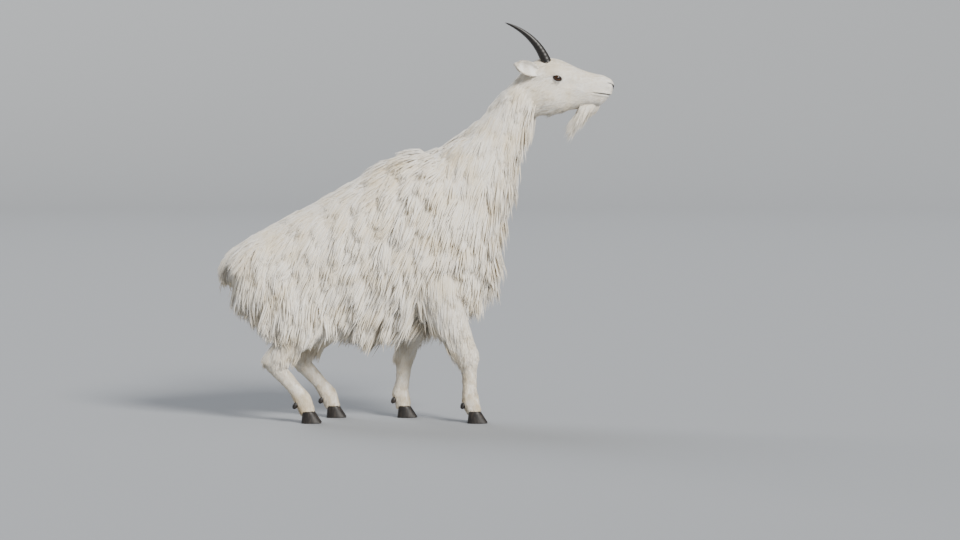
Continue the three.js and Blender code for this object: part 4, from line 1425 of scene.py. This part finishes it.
@dataclass
class Tufts:
    """Tufts as arrays: closed, tapered slivers of three sides with a ridge along the outer face.

    `keel` and `ridge` are how far a ring's corners are under and over the tuft's line, over its half width.
    `rounding` is how far its shading turns to each side, and `root_end` is how much of the length of its
    patch on the map goes to the root.
    """

    keel: ClassVar[float] = 0.3
    ridge: ClassVar[float] = 0.5
    rounding: ClassVar[float] = 0.45
    root_end: ClassVar[float] = 0.06

    roots: Roots
    heading: Array
    bend: Array
    length: Array
    width: Array
    tone: Array
    cut: Cut
    clump: float
    pull: float
    lift: Array
    density: Array
    facing: Array

    def line(self, share: float, pick: Array | slice = slice(None)) -> Array:
        """A place on each tuft's own line: root + length·(heading·s + bend·s²), begun just under the skin."""
        length = self.length[pick][:, None]
        start = self.roots.points[pick] - self.roots.normals[pick] * np.minimum(0.4 + 0.03 * length, 3.0)
        return start + length * (self.heading[pick] * share + self.bend[pick] * share**2)

    def gathered(self, rng: np.random.Generator) -> Callable[[float], Array]:
        """The tufts' lines once they are drawn together.

        Some tufts are picked as leaders, one to each square of the clump's size. Every tuft is pulled towards
        the line of the nearest leader on its own face of the skin, by pull·s^1.6.

        Args:
            rng: the source of the draws.

        Returns:
            What gives each tuft's place at a share of its length.
        """
        area = float(np.sum(100 / self.density))
        count = min(max(8, int(area / self.clump**2)), len(self.roots))
        leaders = rng.choice(len(self.roots), count, replace=False)
        spots = np.hstack([self.roots.points, self.roots.normals * self.clump])
        mine = leaders[nearest(spots, spots[leaders])]
        pull = self.pull * rng.uniform(0.55, 1.2, len(self.roots))[:, None]

        def place(share: float) -> Array:
            """Each tuft's place at a share of its length."""
            own = self.line(share)
            return own + (self.line(share, mine) - own) * np.minimum(pull, 0.95) * share**1.6

        return place

    def build(self, rng: np.random.Generator, chart: Array) -> tuple[Surface, dict[str, Array], Array]:
        """Builds the mesh.

        A ring has two corners at the half width across the tuft, a little under its line, and a third over
        it. They are shaded as parts of a soft round back, by the outward direction turned a little to each
        side, and the flat belly by its opposite. The map lays each tuft as a small patch where its root is on
        the chart.

        Args:
            rng: the source of the draws.
            chart: each root's u, v on the unwrapped skin.

        Returns:
            The surface, its attributes by name, and the map.
        """
        place = self.gathered(rng)
        shares = [s for s, _ in self.cut.value]
        sizes = [w for _, w in self.cut.value]
        count, rings = len(self.roots), len(shares)
        stations = np.stack([place(s) for s in (*shares, 1.0)], axis=1)
        tangents = unit(np.gradient(stations, axis=1))[:, :rings]
        flat = unit(np.cross(tangents, self.facing[:, None]))
        out = np.cross(flat, tangents)
        half = (self.width / 2)[:, None, None] * np.array(sizes)[None, :, None]
        line, low = stations[:, :rings], out * half * self.keel
        corners = np.stack(
            [line + flat * half - low, line - flat * half - low, line + out * half * self.ridge], axis=2)
        points = np.concatenate([corners.reshape(count, rings * 3, 3), stations[:, -1:]], axis=1)
        flat, out = (np.concatenate([v, v[:, -1:]], axis=1) for v in (flat, out))
        pattern, patch, belly = self.pattern(rings)
        ring = np.minimum(pattern // 3, rings)
        turn = np.array([self.rounding, -self.rounding, 0.0])[pattern % 3]
        turn = np.where(pattern == rings * 3, 0.0, turn)[None, ..., None]
        way = np.where(belly, -1.0, 1.0)[None, :, None, None]
        shading = unit(out[:, ring] * way + flat[:, ring] * turn)
        per = rings * 3 + 1
        faces = (pattern[None] + (np.arange(count) * per)[:, None, None]).reshape(-1, 3)
        low, high = chart.min(0), chart.max(0)
        spot = MAP_EDGE + (chart - low) / np.maximum(high - low, 1e-6) * (1 - 2 * MAP_EDGE) * (1 - PATCH)
        maps = (spot[:, None, None] + patch[None] * PATCH).reshape(-1, 2)
        along = np.tile(np.repeat([*shares, 1.0], [3] * rings + [1]), count)
        surface = Surface(points.reshape(-1, 3), faces, shading.reshape(-1, 3))
        return surface, {"along": along, "tone": np.repeat(self.tone, per)}, maps

    @classmethod
    def pattern(cls, rings: int) -> tuple[Array, Array, Array]:
        """One tuft's triangles and the places of their corners on its patch: across it by corner, up it by
        ring.

        Args:
            rings: how many rings it has.

        Returns:
            Triangles as indices, one u, v for each corner of each triangle, from 0 to 1, and whether each
            triangle is on the belly or the root.
        """
        end, across = cls.root_end, (0.0, 1.0, 0.5)
        rise = [end + (1 - end) * k / rings for k in range(rings + 1)]
        faces, patch, belly = [(0, 2, 1)], [((0.0, end), (0.5, 0.0), (1.0, end))], [True]
        for k in range(rings):
            for a, b in ((0, 1), (1, 2), (2, 0)):
                rows = ((0, a), (0, b), (1, b), (1, a))
                loop = [(3 * (k + up) + c, (across[c], rise[k + up])) for up, c in rows]
                if k == rings - 1:
                    loop[2:] = [(3 * rings, (0.5, 1.0))]
                for second, third in zip(loop[1:], loop[2:]):
                    triangle, places = zip(loop[0], second, third)
                    faces.append(triangle)
                    patch.append(places)
                    belly.append(a == 0)
        return np.array(faces), np.array(patch), np.array(belly)


def even(over: float, side: float, under: float) -> tuple[Row, ...]:
    """Rows for a lift that is the same all along a form."""
    return ((over, over), (side, side), (under, under))


LEG_LIE = (-0.16, 0.0, -1.0)
FORELEG_PELT = Pelt(
    over=(70, 66, 62, 50, 32, 20, 14, 12, 12, 13, 15, 15),
    side=(90, 84, 80, 64, 40, 24, 15, 12, 12, 14, 17, 16),
    under=(114, 112, 110, 98, 70, 36, 20, 15, 17, 24, 25, 18), lie=LEG_LIE, lift=even(0.16, 0.16, 0.3),
    per_cm2=(3.6, 4, 4.2, 4.6, 6, 9, 12, 13, 13, 13, 13, 13), clump=22.0, pull=0.45)
THIGH_PELT = Pelt(over=(78, 78, 74, 66), side=(84, 90, 96, 92), under=(95, 110, 118, 110),
                  lie=(-0.3, 0, -0.95), lift=even(0.3, 0.48, 0.45), per_cm2=(3.6, 3.6))
SHANK_PELT = Pelt(over=(62, 56, 36, 20), side=(90, 82, 52, 26), under=(112, 104, 70, 34), lie=LEG_LIE,
                  lift=even(0.2, 0.3, 0.36), per_cm2=(3.8, 4.2, 6.5, 10), clump=26.0)
CANNON_PELT = Pelt(over=(20, 15, 12, 12, 13, 15, 15), side=(22, 16, 12, 12, 14, 17, 16),
                   under=(30, 22, 15, 17, 24, 25, 18), lie=LEG_LIE, lift=even(0.14, 0.14, 0.26),
                   per_cm2=(10, 12, 13, 13, 13, 13, 13), clump=13.0, pull=0.35)
PELTS: dict[Region, Pelt] = {
    Region.TRUNK: Pelt(
        over=(70, 76, 80, 84, 92, 106, 122, 124, 112, 100), side=(78, 82, 86, 90, 94, 98, 102, 104, 100, 96),
        under=(96, 104, 112, 120, 124, 124, 126, 128, 126, 118), lie=(-0.6, 0.0, -0.8),
        lift=((0.25, 0.3, 0.3, 0.32, 0.4, 0.55, 0.8, 0.85, 0.7, 0.6), (0.48, 0.48), (0.75, 0.75)),
        per_cm2=(3.7, 3.7)),
    Region.NECK: Pelt(
        over=(124, 118, 104, 86, 66, 50), side=(96, 88, 78, 68, 60, 52), under=(120, 116, 108, 100, 94, 84),
        lie=(-0.42, 0.0, -0.9), lift=((0.8, 0.7, 0.6, 0.5, 0.45, 0.4), (0.26, 0.26), (0.5, 0.5)),
        per_cm2=(3.4, 3.8, 4.2, 4.8, 5.6, 6), clump=28.0),
    Region.TAIL: Pelt(
        over=(70, 88, 90, 76), side=(60, 74, 76, 64), under=(50, 60, 64, 56), lie=(-0.3, 0.0, -1.0),
        lift=even(0.5, 0.4, 0.3), per_cm2=(8, 8), clump=16.0),
    Region.HEAD: Pelt(
        over=(64, 50, 34, 22, 15, 12, 10, 8, 6, 5), side=(70, 64, 48, 30, 17, 12, 9, 8, 6, 5),
        under=(90, 86, 74, 58, 44, 34, 28, 22, 12, 7), lie=(-0.95, 0.0, -0.3), lift=even(0.2, 0.14, 0.3),
        sag=0.12, per_cm2=(7, 8, 9, 11, 13, 15, 17, 19, 22, 22), clump=11.0, pull=0.35),
    **{Region[f"{part}_{side.name}"]: pelt for side in Side for part, pelt in (
        ("FORELEG", FORELEG_PELT), ("THIGH", THIGH_PELT), ("SHANK", SHANK_PELT), ("CANNON", CANNON_PELT))},
}
BEARD_PELT = Pelt(over=(104, 104), side=(104, 104), under=(104, 104), lie=(-1, 0, 0),
                  lift=even(1.1, 1.1, 1.1), sag=0.55, per_cm2=(56, 56), clump=9.0, pull=0.6, shag=0.3)
EAR_PELT = Pelt(over=(20, 15, 9), side=(20, 15, 9), under=(20, 15, 9), lie=(0, 0, 0),
                lift=even(0.2, 0.2, 0.2), sag=0.1, per_cm2=(24, 24), clump=8.0, pull=0.3)


@dataclass
class Flesh:
    """The forms under the coat, fused into one skin, and where each point of it lies on its form."""

    rings: int = 60
    sides: int = 64
    voxel: float = 7.7
    strength: float = 0.6
    smoothing: int = 7
    filling: int = 60
    filled_above: tuple[float, float] = (330.0, 450.0)
    forms: dict[Region, Loft] = field(init=False)

    def __post_init__(self) -> None:
        """Gathers the forms of the trunk, neck, tail and legs."""
        self.forms = {Region.TRUNK: TRUNK, Region.NECK: NECK, Region.TAIL: TAIL}
        for leg in (*FORELEGS, *HINDLEGS):
            self.forms.update(leg.lofts())

    def fused(self) -> Surface:
        """All the forms as one closed surface: they are fused on a grid of small cells, then smoothed a
        little, and above the legs much more, which fills the creases round the shoulders and thighs."""
        raw = joined([form.body(self.rings, self.sides) for form in self.forms.values()])
        mesh = bpy.data.meshes.new("flesh_forms")
        mesh.from_pydata(raw.points, [], raw.faces)
        shape = bpy.data.objects.new("flesh_forms", mesh)
        bpy.context.collection.objects.link(shape)
        remesh = shape.modifiers.new("fuse", "REMESH")
        remesh.mode = "VOXEL"
        remesh.voxel_size = self.voxel
        graph = bpy.context.evaluated_depsgraph_get()
        made = bpy.data.meshes.new_from_object(shape.evaluated_get(graph))
        points = np.empty(len(made.vertices) * 3, np.float32)
        made.vertices.foreach_get("co", points)
        made.calc_loop_triangles()
        faces = np.empty(len(made.loop_triangles) * 3, np.int32)
        made.loop_triangles.foreach_get("vertices", faces)
        bpy.data.objects.remove(shape)
        for old in (mesh, made):
            bpy.data.meshes.remove(old)
        rough = Surface(points.reshape(-1, 3).astype(float), faces.reshape(-1, 3)).outward()
        soft = relaxed(rough, np.full(len(rough.points), self.strength), self.smoothing)
        return relaxed(soft, self.strength * smoothstep(*self.filled_above, soft.points[:, 2]), self.filling)

    def regions(self, points: Array) -> tuple[Array, dict[Region, tuple[Array, Array]]]:
        """Gives each point to the form whose surface is nearest.

        Args:
            points: places on the fused skin, in mm.

        Returns:
            The index of each point's region, and each region's shares and angles at all the points.
        """
        found = {region: form.locate(points) for region, form in self.forms.items()}
        distance = np.stack([f[2] for f in found.values()])
        return np.argmin(distance, axis=0), {region: f[:2] for region, f in found.items()}


@dataclass
class Pressed:
    """The skin as a cloud of points with normals, against which tufts are laid."""

    reach: ClassVar[float] = 160.0

    points: Array
    normals: Array

    @classmethod
    def over(cls, surfaces: Sequence[Surface], spacings: Sequence[int]) -> Pressed:
        """Gathers the cloud.

        Args:
            surfaces: what the skin is made of.
            spacings: for each surface, that every so many of its points are taken.

        Returns:
            The cloud.
        """
        pairs = [(s.points[::n], s.normals()[::n]) for s, n in zip(surfaces, spacings)]
        return cls(np.concatenate([p for p, _ in pairs]), np.concatenate([n for _, n in pairs]))

    def lay(self, tufts: Tufts) -> None:
        """Keeps tufts off the skin and near it.

        Halfway and at the tip, the height over the nearest point of the skin is held between a least height
        and one that grows with the tuft's lift. The two corrections P½ and P₁ are met by a curve A·s + B·s²,
        so that A = 4 P½ - P₁ goes to the heading and B = 2 P₁ - 4 P½ to the bend.

        Args:
            tufts: the tufts, whose headings and bends are changed.
        """
        low, high = tufts.roots.points.min(0) - self.reach, tufts.roots.points.max(0) + self.reach
        near = np.all((self.points > low) & (self.points < high), axis=1)
        points, normals = self.points[near], self.normals[near]
        pushes = []
        for share in (0.5, 1.0):
            place = tufts.line(share)
            index = nearest(place, points)
            height = dot(place - points[index], normals[index])[:, 0]
            least = share * (0.8 + 0.06 * tufts.length)
            stand = 0.03 + 0.65 * tufts.lift + 2 * np.maximum(tufts.lift - 0.45, 0)
            most = np.maximum(share * tufts.length * stand, least)
            pushes.append((np.clip(height, least, most) - height)[:, None] * normals[index])
        half, full = pushes
        tufts.heading = tufts.heading + (4 * half - full) / tufts.length[:, None]
        tufts.bend = tufts.bend + (2 * full - 4 * half) / tufts.length[:, None]


@dataclass
class Coat:
    """The whole coat: it scatters the roots, lays the tufts and makes the pieces.

    The pairs `wander` and `uneven` are how strong their waves are and how long in mm. A tuft's length, lift,
    sag and width are drawn between two shares of the pelt's own value, and `turning` and `curling` are the
    usual chance turns of its heading and its bend. `tuck` is how much of its lift the bend takes back, up to
    `most_tucked`. A width is in mm, with a share of the length.
    """

    maker: Maker
    flesh: Surface
    forms: Flesh
    head: Surface
    face: Face
    seed: int = 1207
    wander: tuple[float, float] = (0.22, 90.0)
    uneven: tuple[float, float] = (0.2, 60.0)
    shag_mm: float = 46.0
    length_draw: Band = (0.72, 1.14)
    lift_draw: Band = (0.6, 1.35)
    sag_draw: Band = (0.7, 1.3)
    width_draw: Band = (0.8, 1.2)
    turning: float = 0.13
    curling: float = 0.08
    tuck: float = 0.35
    most_tucked: float = 0.5
    width_mm: float = 1.0
    width_share: float = 0.05
    beard_width: float = 0.42
    beard_per_cm2: float = 60.0
    ear_width: float = 0.8
    lowest: float = 38.0
    fore_from: float = 40.0
    short_from: float = 0.48
    in_head: float = 0.72
    in_neck: float = 0.66
    chin: tuple[float, float] = (190.0, 262.0)

    def __post_init__(self) -> None:
        """Makes the hair's finish, and the cloud that the tufts are laid against."""
        self.material = Pelage().hair()
        self.pressed = Pressed.over((self.flesh, self.head), (4, 5))

    def grow(self, roots: Roots, pelt: Pelt, cut: Cut, lie: Array | None = None, seed: int = 0) -> Tufts:
        """Lays tufts at roots.

        The way is the lie's part along the skin, turned a little by smooth waves and by chance. The heading
        adds the lift, and the bend adds the sag and brings a lifted tip back to the body.

        Args:
            roots: where they grow.
            pelt: how they grow.
            cut: how finely they are cut.
            lie: a lie for each root, where the pelt's own won't do.
            seed: what the draws come from.

        Returns:
            The tufts.
        """
        rng, count = np.random.default_rng(self.seed + seed), len(roots)
        points, normals = roots.points, roots.normals
        wander, wander_mm = self.wander
        uneven, uneven_mm = self.uneven
        lie = np.broadcast_to(np.array(pelt.lie, float), points.shape) if lie is None else lie
        lie = lie + wander * np.stack([waves(points, wander_mm, seed + k) for k in range(3)], -1)
        way = unit(lie - normals * dot(lie, normals))
        swing = np.cross(normals, way)
        way = unit(way + swing * rng.normal(0, self.turning, (count, 1)))
        shag = (1 + pelt.shag * waves(points, self.shag_mm, seed + 17))[:, None]
        lift = pelt.blended(pelt.lift, roots)[:, None] * rng.uniform(*self.lift_draw, (count, 1)) * shag
        length = pelt.lengths(roots) * rng.uniform(*self.length_draw, count)
        length = length * (1 + uneven * waves(points, uneven_mm, seed + 9))
        sag = pelt.sag * rng.uniform(*self.sag_draw, (count, 1))
        tucked = normals * np.minimum(lift, self.most_tucked) * self.tuck
        bend = -UP * sag - tucked + swing * rng.normal(0, self.curling, (count, 1))
        width = (self.width_mm + self.width_share * length) * rng.uniform(*self.width_draw, count)
        return Tufts(roots, unit(way + normals * lift), bend, length, width, rng.random(count), cut,
                     pelt.clump, pelt.pull, lift[:, 0], pelt.along(pelt.per_cm2, roots.share), normals)

    def piece(
        self, name: str, tufts: Sequence[Tufts], charts: Sequence[Array] = (), pressed: bool = True,
    ) -> None:
        """Makes one piece of the coat.

        Args:
            name: the piece's name.
            tufts: one or more lots of tufts, each with its own band of the map.
            charts: each lot's places on the unwrapped skin, where its roots' own won't do.
            pressed: whether the tufts are laid against the skin.
        """
        rng = np.random.default_rng(self.seed + sum(map(ord, name)))
        surfaces, maps = [], []
        attributes: dict[str, list[Array]] = {"along": [], "tone": [], "dark": []}
        for band, (lot, chart) in enumerate(zip(tufts, charts or [lot.roots.chart() for lot in tufts])):
            if not len(lot.roots):
                continue
            if pressed:
                self.pressed.lay(lot)
            surface, values, uv = lot.build(rng, chart)
            uv[:, 1] = (band + uv[:, 1]) / len(tufts)
            surfaces.append(surface)
            maps.append(uv)
            dark = self.face.dark(body_to_head(lot.roots.points))
            values["dark"] = np.repeat(dark, len(surface.points) // len(lot.roots))
            for key, value in values.items():
                attributes[key].append(value)
        self.maker.make(name, joined(surfaces), self.material, "coat",
                        attributes={key: np.concatenate(values) for key, values in attributes.items()},
                        maps={BAKE_MAP: np.concatenate(maps)})

    def body_roots(self) -> dict[Region, Roots]:
        """Scatters roots over the fused skin as close as the closest pelt needs, and thins each region's."""
        rng = np.random.default_rng(self.seed)
        densest = max(max(pelt.per_cm2) for region, pelt in PELTS.items() if region is not Region.HEAD)
        points, normals = scatter(self.flesh, densest, rng)
        local = body_to_head(points)
        free = ~(HEAD.holds(local, self.in_head)[0] & (local[:, 0] > -10)) & (points[:, 2] > self.lowest)
        index, found = self.forms.regions(points)
        lots: dict[Region, Roots] = {}
        for number, (region, (share, angle)) in enumerate(found.items()):
            thinned = rng.random(len(points)) < PELTS[region].along(PELTS[region].per_cm2, share) / densest
            lots[region] = Roots(points, normals, share, angle).kept(free & thinned & (index == number))
        return lots

    def body(self) -> None:
        """Makes the coat of the trunk, neck, tail and legs."""
        lots = self.body_roots()
        trunk = lots[Region.TRUNK]
        pieces: dict[str, list[tuple[Region, Roots, Cut]]] = {}
        for side in Side:
            here, front = np.sign(trunk.points[:, 1]) == side.value, trunk.points[:, 0] > self.fore_from
            for name, part in (("rear", here & ~front), ("fore", here & front)):
                pieces[f"coat_{name}_trunk_{side.word}"] = [(Region.TRUNK, trunk.kept(part), Cut.LONG)]
        for region in (Region.NECK, Region.TAIL):
            pieces[f"coat_{region.value}"] = [(region, lots[region], Cut.LONG)]
        for side in Side:
            region = Region[f"FORELEG_{side.name}"]
            upper = lots[region].share < self.short_from
            pieces[f"coat_foreleg_{side.word}"] = [
                (region, lots[region].kept(upper), Cut.LONG), (region, lots[region].kept(~upper), Cut.SHORT)]
            pieces[f"coat_hindleg_{side.word}"] = [
                (region, lots[region], cut) for region, cut in (
                    (Region[f"THIGH_{side.name}"], Cut.LONG), (Region[f"SHANK_{side.name}"], Cut.LONG),
                    (Region[f"CANNON_{side.name}"], Cut.SHORT))]
        for name, parts in pieces.items():
            self.piece(name, [self.grow(roots, PELTS[region], cut, seed=31 * k + len(name))
                              for k, (region, roots, cut) in enumerate(parts)])

    def bald(self, points: Array) -> Array:
        """Where the head grows no tufts: on bare skin and a strip behind it, in the eyes' openings, under the
        horns, and inside the neck.

        Args:
            points: places on the head, in the animal's millimetres.

        Returns:
            Whether each is bald.
        """
        local = body_to_head(points)
        x, y, z = local.T
        eyes = (self.face.lid_distance(local) < 1.22) & (np.abs(y) > 20)
        horns = (np.hypot(x - 62, np.abs(y) - 22) < 14) & (z > 40)
        behind = self.face.dark(local - 5 * FORWARD) * (x > 262)
        bare = np.maximum(self.face.dark(local), behind) > 0.45
        inside, share = NECK.holds(points, self.in_neck)
        return eyes | horns | bare | (inside & (share < 0.97))

    def face_coat(self) -> None:
        """Makes the short coat of the head. It runs back and down, and turns away from the eyes."""
        rng = np.random.default_rng(self.seed + 5)
        pelt = PELTS[Region.HEAD]
        densest = max(pelt.per_cm2)
        points, normals = scatter(self.head, densest, rng)
        share, angle, _ = HEAD.locate(body_to_head(points))
        thinned = rng.random(len(points)) > pelt.along(pelt.per_cm2, share) / densest
        roots = Roots(points, normals, share, angle).kept(~(self.bald(points) | thinned))
        local = body_to_head(roots.points)
        x, y, z = local.T
        around = self.face.lid_distance(local)
        turned = bell(around - 1.6, 0.6) * (np.abs(y) > 20) * np.sign(z - Eyes().at[2])
        fall = 0.9 * turned - 0.25 - 0.35 * smoothstep(150, 40, x)
        lie = np.stack([-np.ones(len(x)), 0.1 * y / 50, fall], -1)
        tufts = self.grow(roots, pelt, Cut.SHORT, lie, 3)
        tufts.length = tufts.length * (0.4 + 0.6 * smoothstep(1.2, 2.6, around))
        self.piece("coat_face", [tufts])

    def beard(self) -> None:
        """Makes the beard: long tufts from under the chin, drawn together into a few hanging points."""
        rng = np.random.default_rng(self.seed + 8)
        points, normals = scatter(self.head, self.beard_per_cm2, rng)
        local, (back, front) = body_to_head(points), self.chin
        x, y, z = local.T
        width = 21 - 13 * smoothstep(232, 262, x)
        chosen = (x > back) & (x < front) & (np.abs(y) < width) & (z < -30)
        local, width = local[chosen], width[chosen]
        roots = Roots(points[chosen], normals[chosen], HEAD.locate(local)[0], np.zeros(len(local)))
        tufts = self.grow(roots, BEARD_PELT, Cut.LONG, seed=4)
        fore, aft = smoothstep(264, 228, local[:, 0]), smoothstep(188, 222, local[:, 0])
        inner = 1 - 0.7 * (np.abs(local[:, 1]) / width) ** 2
        tufts.length = tufts.length * (0.16 + 0.84 * fore) * (0.3 + 0.7 * aft) * inner
        tufts.width = tufts.width * self.beard_width
        outward = (local - local[:, 0].mean() * FORWARD) * (1.0, 2.0, 0.0) + rng.normal(0, 4, (len(roots), 3))
        tufts.facing = pitched(unit(outward), HEAD_PITCH)
        self.piece("coat_beard", [tufts], [local[:, :2]], pressed=False)

    def ears(self) -> None:
        """Makes the hair of both ears: short tufts laid along each ear, shorter towards its tip."""
        rng = np.random.default_rng(self.seed + 11)
        ears = Ears()
        heading = ears.axes()[0]
        lots, charts = [], []
        for side in Side:
            flip = np.array([1, side.value, 1])
            points, normals = scatter(ears.body(side), max(EAR_PELT.per_cm2), rng)
            along = (points * flip - ears.root) @ heading / ears.length
            kept = along > -0.02
            local, along = points[kept], np.clip(along[kept], 0, 1)
            lie = np.broadcast_to(pitched(heading * flip, HEAD_PITCH), local.shape)
            roots = Roots(head_to_body(local), pitched(normals[kept], HEAD_PITCH), along,
                          np.arctan2(local[:, 2], local[:, 0]))
            tufts = self.grow(roots, EAR_PELT, Cut.SHORT, lie, 21 + side.value)
            tufts.width = tufts.width * self.ear_width
            lots.append(tufts)
            charts.append(np.stack([along, (local[:, 2] - local[:, 2].min()) / 60], -1))
        self.piece("coat_ears", lots, charts, pressed=False)


@dataclass(frozen=True)
class Skin:
    """The skin, one piece from the nose to the hoofs: flesh, head and ears in the animal's millimetres."""

    flesh: Surface
    head: Surface
    ears: tuple[Surface, ...]
    face: Face
    middle_nodes: tuple[str, ...] = ("head", "neck", "trunk", "tail")
    side_nodes: tuple[str, ...] = ("ear", "upper_foreleg", "lower_foreleg", "thigh", "shank", "lower_hindleg")

    def make(self, maker: Maker) -> None:
        """Makes the skin, with the black rims of the lids, and lets it stand for every node of flesh."""
        rims = joined([Lids().body(side).on_body() for side in Side])
        whole = joined([self.flesh, self.head, *self.ears, rims])
        dark = self.face.dark(body_to_head(whole.points))
        dark[-len(rims.points):] = 1.0
        nodes = [*self.middle_nodes, *(f"{part}_{side.word}" for side in Side for part in self.side_nodes)]
        maker.make("skin", whole, Pelage().skin(), "coat", nodes, attributes={"dark": dark})


@dataclass(frozen=True)
class Lamp:
    """A broad, distant light: its source, how wide it looks in degrees, its strength and its colour."""

    name: str
    source: Point
    angle: float
    strength: float
    colour: str

    def make(self) -> None:
        """Makes the light, pointed at the goat."""
        data = bpy.data.lights.new(self.name, "SUN")
        data.angle = math.radians(self.angle)
        data.energy = self.strength
        data.color = linear(self.colour)[:3]
        lamp = bpy.data.objects.new(self.name, data)
        lamp.location = self.source
        lamp.rotation_euler = direction_euler(-np.array(self.source))
        bpy.context.collection.objects.link(lamp)


@dataclass(frozen=True)
class Studio:
    """The floor, the light and the camera.

    The photograph looks level at the goat's right side from far away, and the goat fills only a few dozen of
    its pixels. The camera keeps that direction and the goat's place in the picture, and comes closer by
    `nearer`.
    """

    flat_radius: float = 24.0
    sweep: float = 12.0
    floor_sides: int = 96
    floor_colour: str = "#9C9FA3"
    lamps: tuple[Lamp, ...] = (
        Lamp("key", (3.2, -4.8, 3.6), 18, 4.8, "#FFFCF6"),
        Lamp("back", (-3.5, 4.0, 3.4), 40, 2.0, "#F6F9FF"),
    )
    room_colour: str = "#E6E9EE"
    room_strength: float = 0.48
    lens: float = 110.0
    sensor: float = 36.0
    azimuth: float = 0.0
    elevation: float = 3.0
    photo_size: tuple[int, int] = (960, 540)
    body_height_px: float = 37.0
    body_height: float = 1.285
    body_middle: tuple[float, float] = (0.434, 0.443)
    nearer: float = 9.8
    clip_end: float = 500.0

    def floor(self) -> None:
        """A pale, plain floor of matt paint that sweeps up into a backdrop far off on every side: a line from
        the middle, then a quarter of a circle, turned about the middle."""
        material, _, shader = fresh("matt_paint_floor")
        fill(shader, {"Base Color": linear(self.floor_colour), "Roughness": 0.9})
        turn = np.linspace(0, math.pi / 2, 25)
        reach = np.concatenate([[0.5, 4.0, 12.0], self.flat_radius + self.sweep * np.sin(turn)])[:, None]
        height = np.concatenate([[0.0, 0.0, 0.0], self.sweep * (1 - np.cos(turn))])[:, None]
        around = turns(self.floor_sides)
        grid = np.stack([reach * np.cos(around), reach * np.sin(around), height + 0 * around], -1)
        index = np.arange(grid.shape[0] * self.floor_sides).reshape(-1, self.floor_sides)
        after = np.roll(index, -1, axis=1)
        quads = np.stack([index[:-1], index[1:], after[1:], after[:-1]], -1).reshape(-1, 4)
        mesh = bpy.data.meshes.new("floor")
        mesh.from_pydata(grid.reshape(-1, 3), [], [*quads.tolist(), index[0].tolist()])
        mesh.polygons.foreach_set("use_smooth", np.ones(len(mesh.polygons), bool))
        mesh.materials.append(material)
        floor = bpy.data.objects.new("floor", mesh)
        bpy.context.collection.objects.link(floor)
        floor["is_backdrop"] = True

    def light(self) -> None:
        """A key from high in front of the goat's right, a weaker light from behind its left, a pale room."""
        for lamp in self.lamps:
            lamp.make()
        world = bpy.data.worlds.new("pale_room")
        world.use_nodes = True
        fill(world.node_tree.nodes["Background"],
             {"Color": linear(self.room_colour), "Strength": self.room_strength})
        bpy.context.scene.world = world

    def camera(self) -> None:
        """Sets the camera.

        The frame's height at the goat is the body's height, to its crown, times 540 / (its pixels × nearer),
        and the distance is the frame's width there × lens / sensor. The aim is moved so that the body's
        middle falls where it is in the photograph.
        """
        wide, tall = self.photo_size
        frame_height = self.body_height * tall / (self.body_height_px * self.nearer)
        frame_width = frame_height * wide / tall
        distance = frame_width * self.lens / self.sensor
        a, e = math.radians(self.azimuth), math.radians(self.elevation)
        back = np.array([math.sin(a) * math.cos(e), -math.cos(a) * math.cos(e), math.sin(e)])
        right = np.array([math.cos(a), math.sin(a), 0.0])
        above = np.cross(right, -back)
        aim = (np.array([0.0, 0.0, self.body_height / 2]) + right * (0.5 - self.body_middle[0]) * frame_width
               + above * (self.body_middle[1] - 0.5) * frame_height)
        data = bpy.data.cameras.new("camera")
        data.lens, data.sensor_width, data.clip_end = self.lens, self.sensor, self.clip_end
        camera = bpy.data.objects.new("camera", data)
        camera.location = aim + back * distance
        camera.rotation_euler = direction_euler(-back)
        bpy.context.collection.objects.link(camera)
        bpy.context.scene.camera = camera


def direction_euler(aim: Array) -> tuple[float, float, float]:
    """The turn that points a camera or light, which look along -Z, along `aim` and keeps it level."""
    x, y, z = unit(np.array(aim, float))
    return (math.acos(-z), 0.0, math.atan2(-x, y))


def corners(bounds: Sequence[Sequence[float]]) -> list[list[float]]:
    """A box's two corners as plain lists."""
    return [[float(v) for v in corner] for corner in bounds]


def main() -> None:
    """Loads the frame, makes every piece of the goat, and sets the studio."""
    logging.basicConfig(level=logging.INFO, format="%(message)s")
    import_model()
    cad = corners(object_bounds())
    maker, face, forms = Maker(Placement.from_frame()), Face(), Flesh()
    flesh, head = forms.fused(), face.sculpted(205, 208).on_body()
    ears = tuple(Ears().body(side).on_body() for side in Side)
    for part in (Skin(flesh, head, ears, face), Eyes(), Horns(), Hoofs()):
        part.make(maker)
    coat, studio = Coat(maker, flesh, forms, head, face), Studio()
    for step in (coat.body, coat.face_coat, coat.beard, coat.ears, studio.floor, studio.light, studio.camera):
        step()
    {"cad": cad, "visual": corners(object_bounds())}


if __name__ == "__main__":
    main()
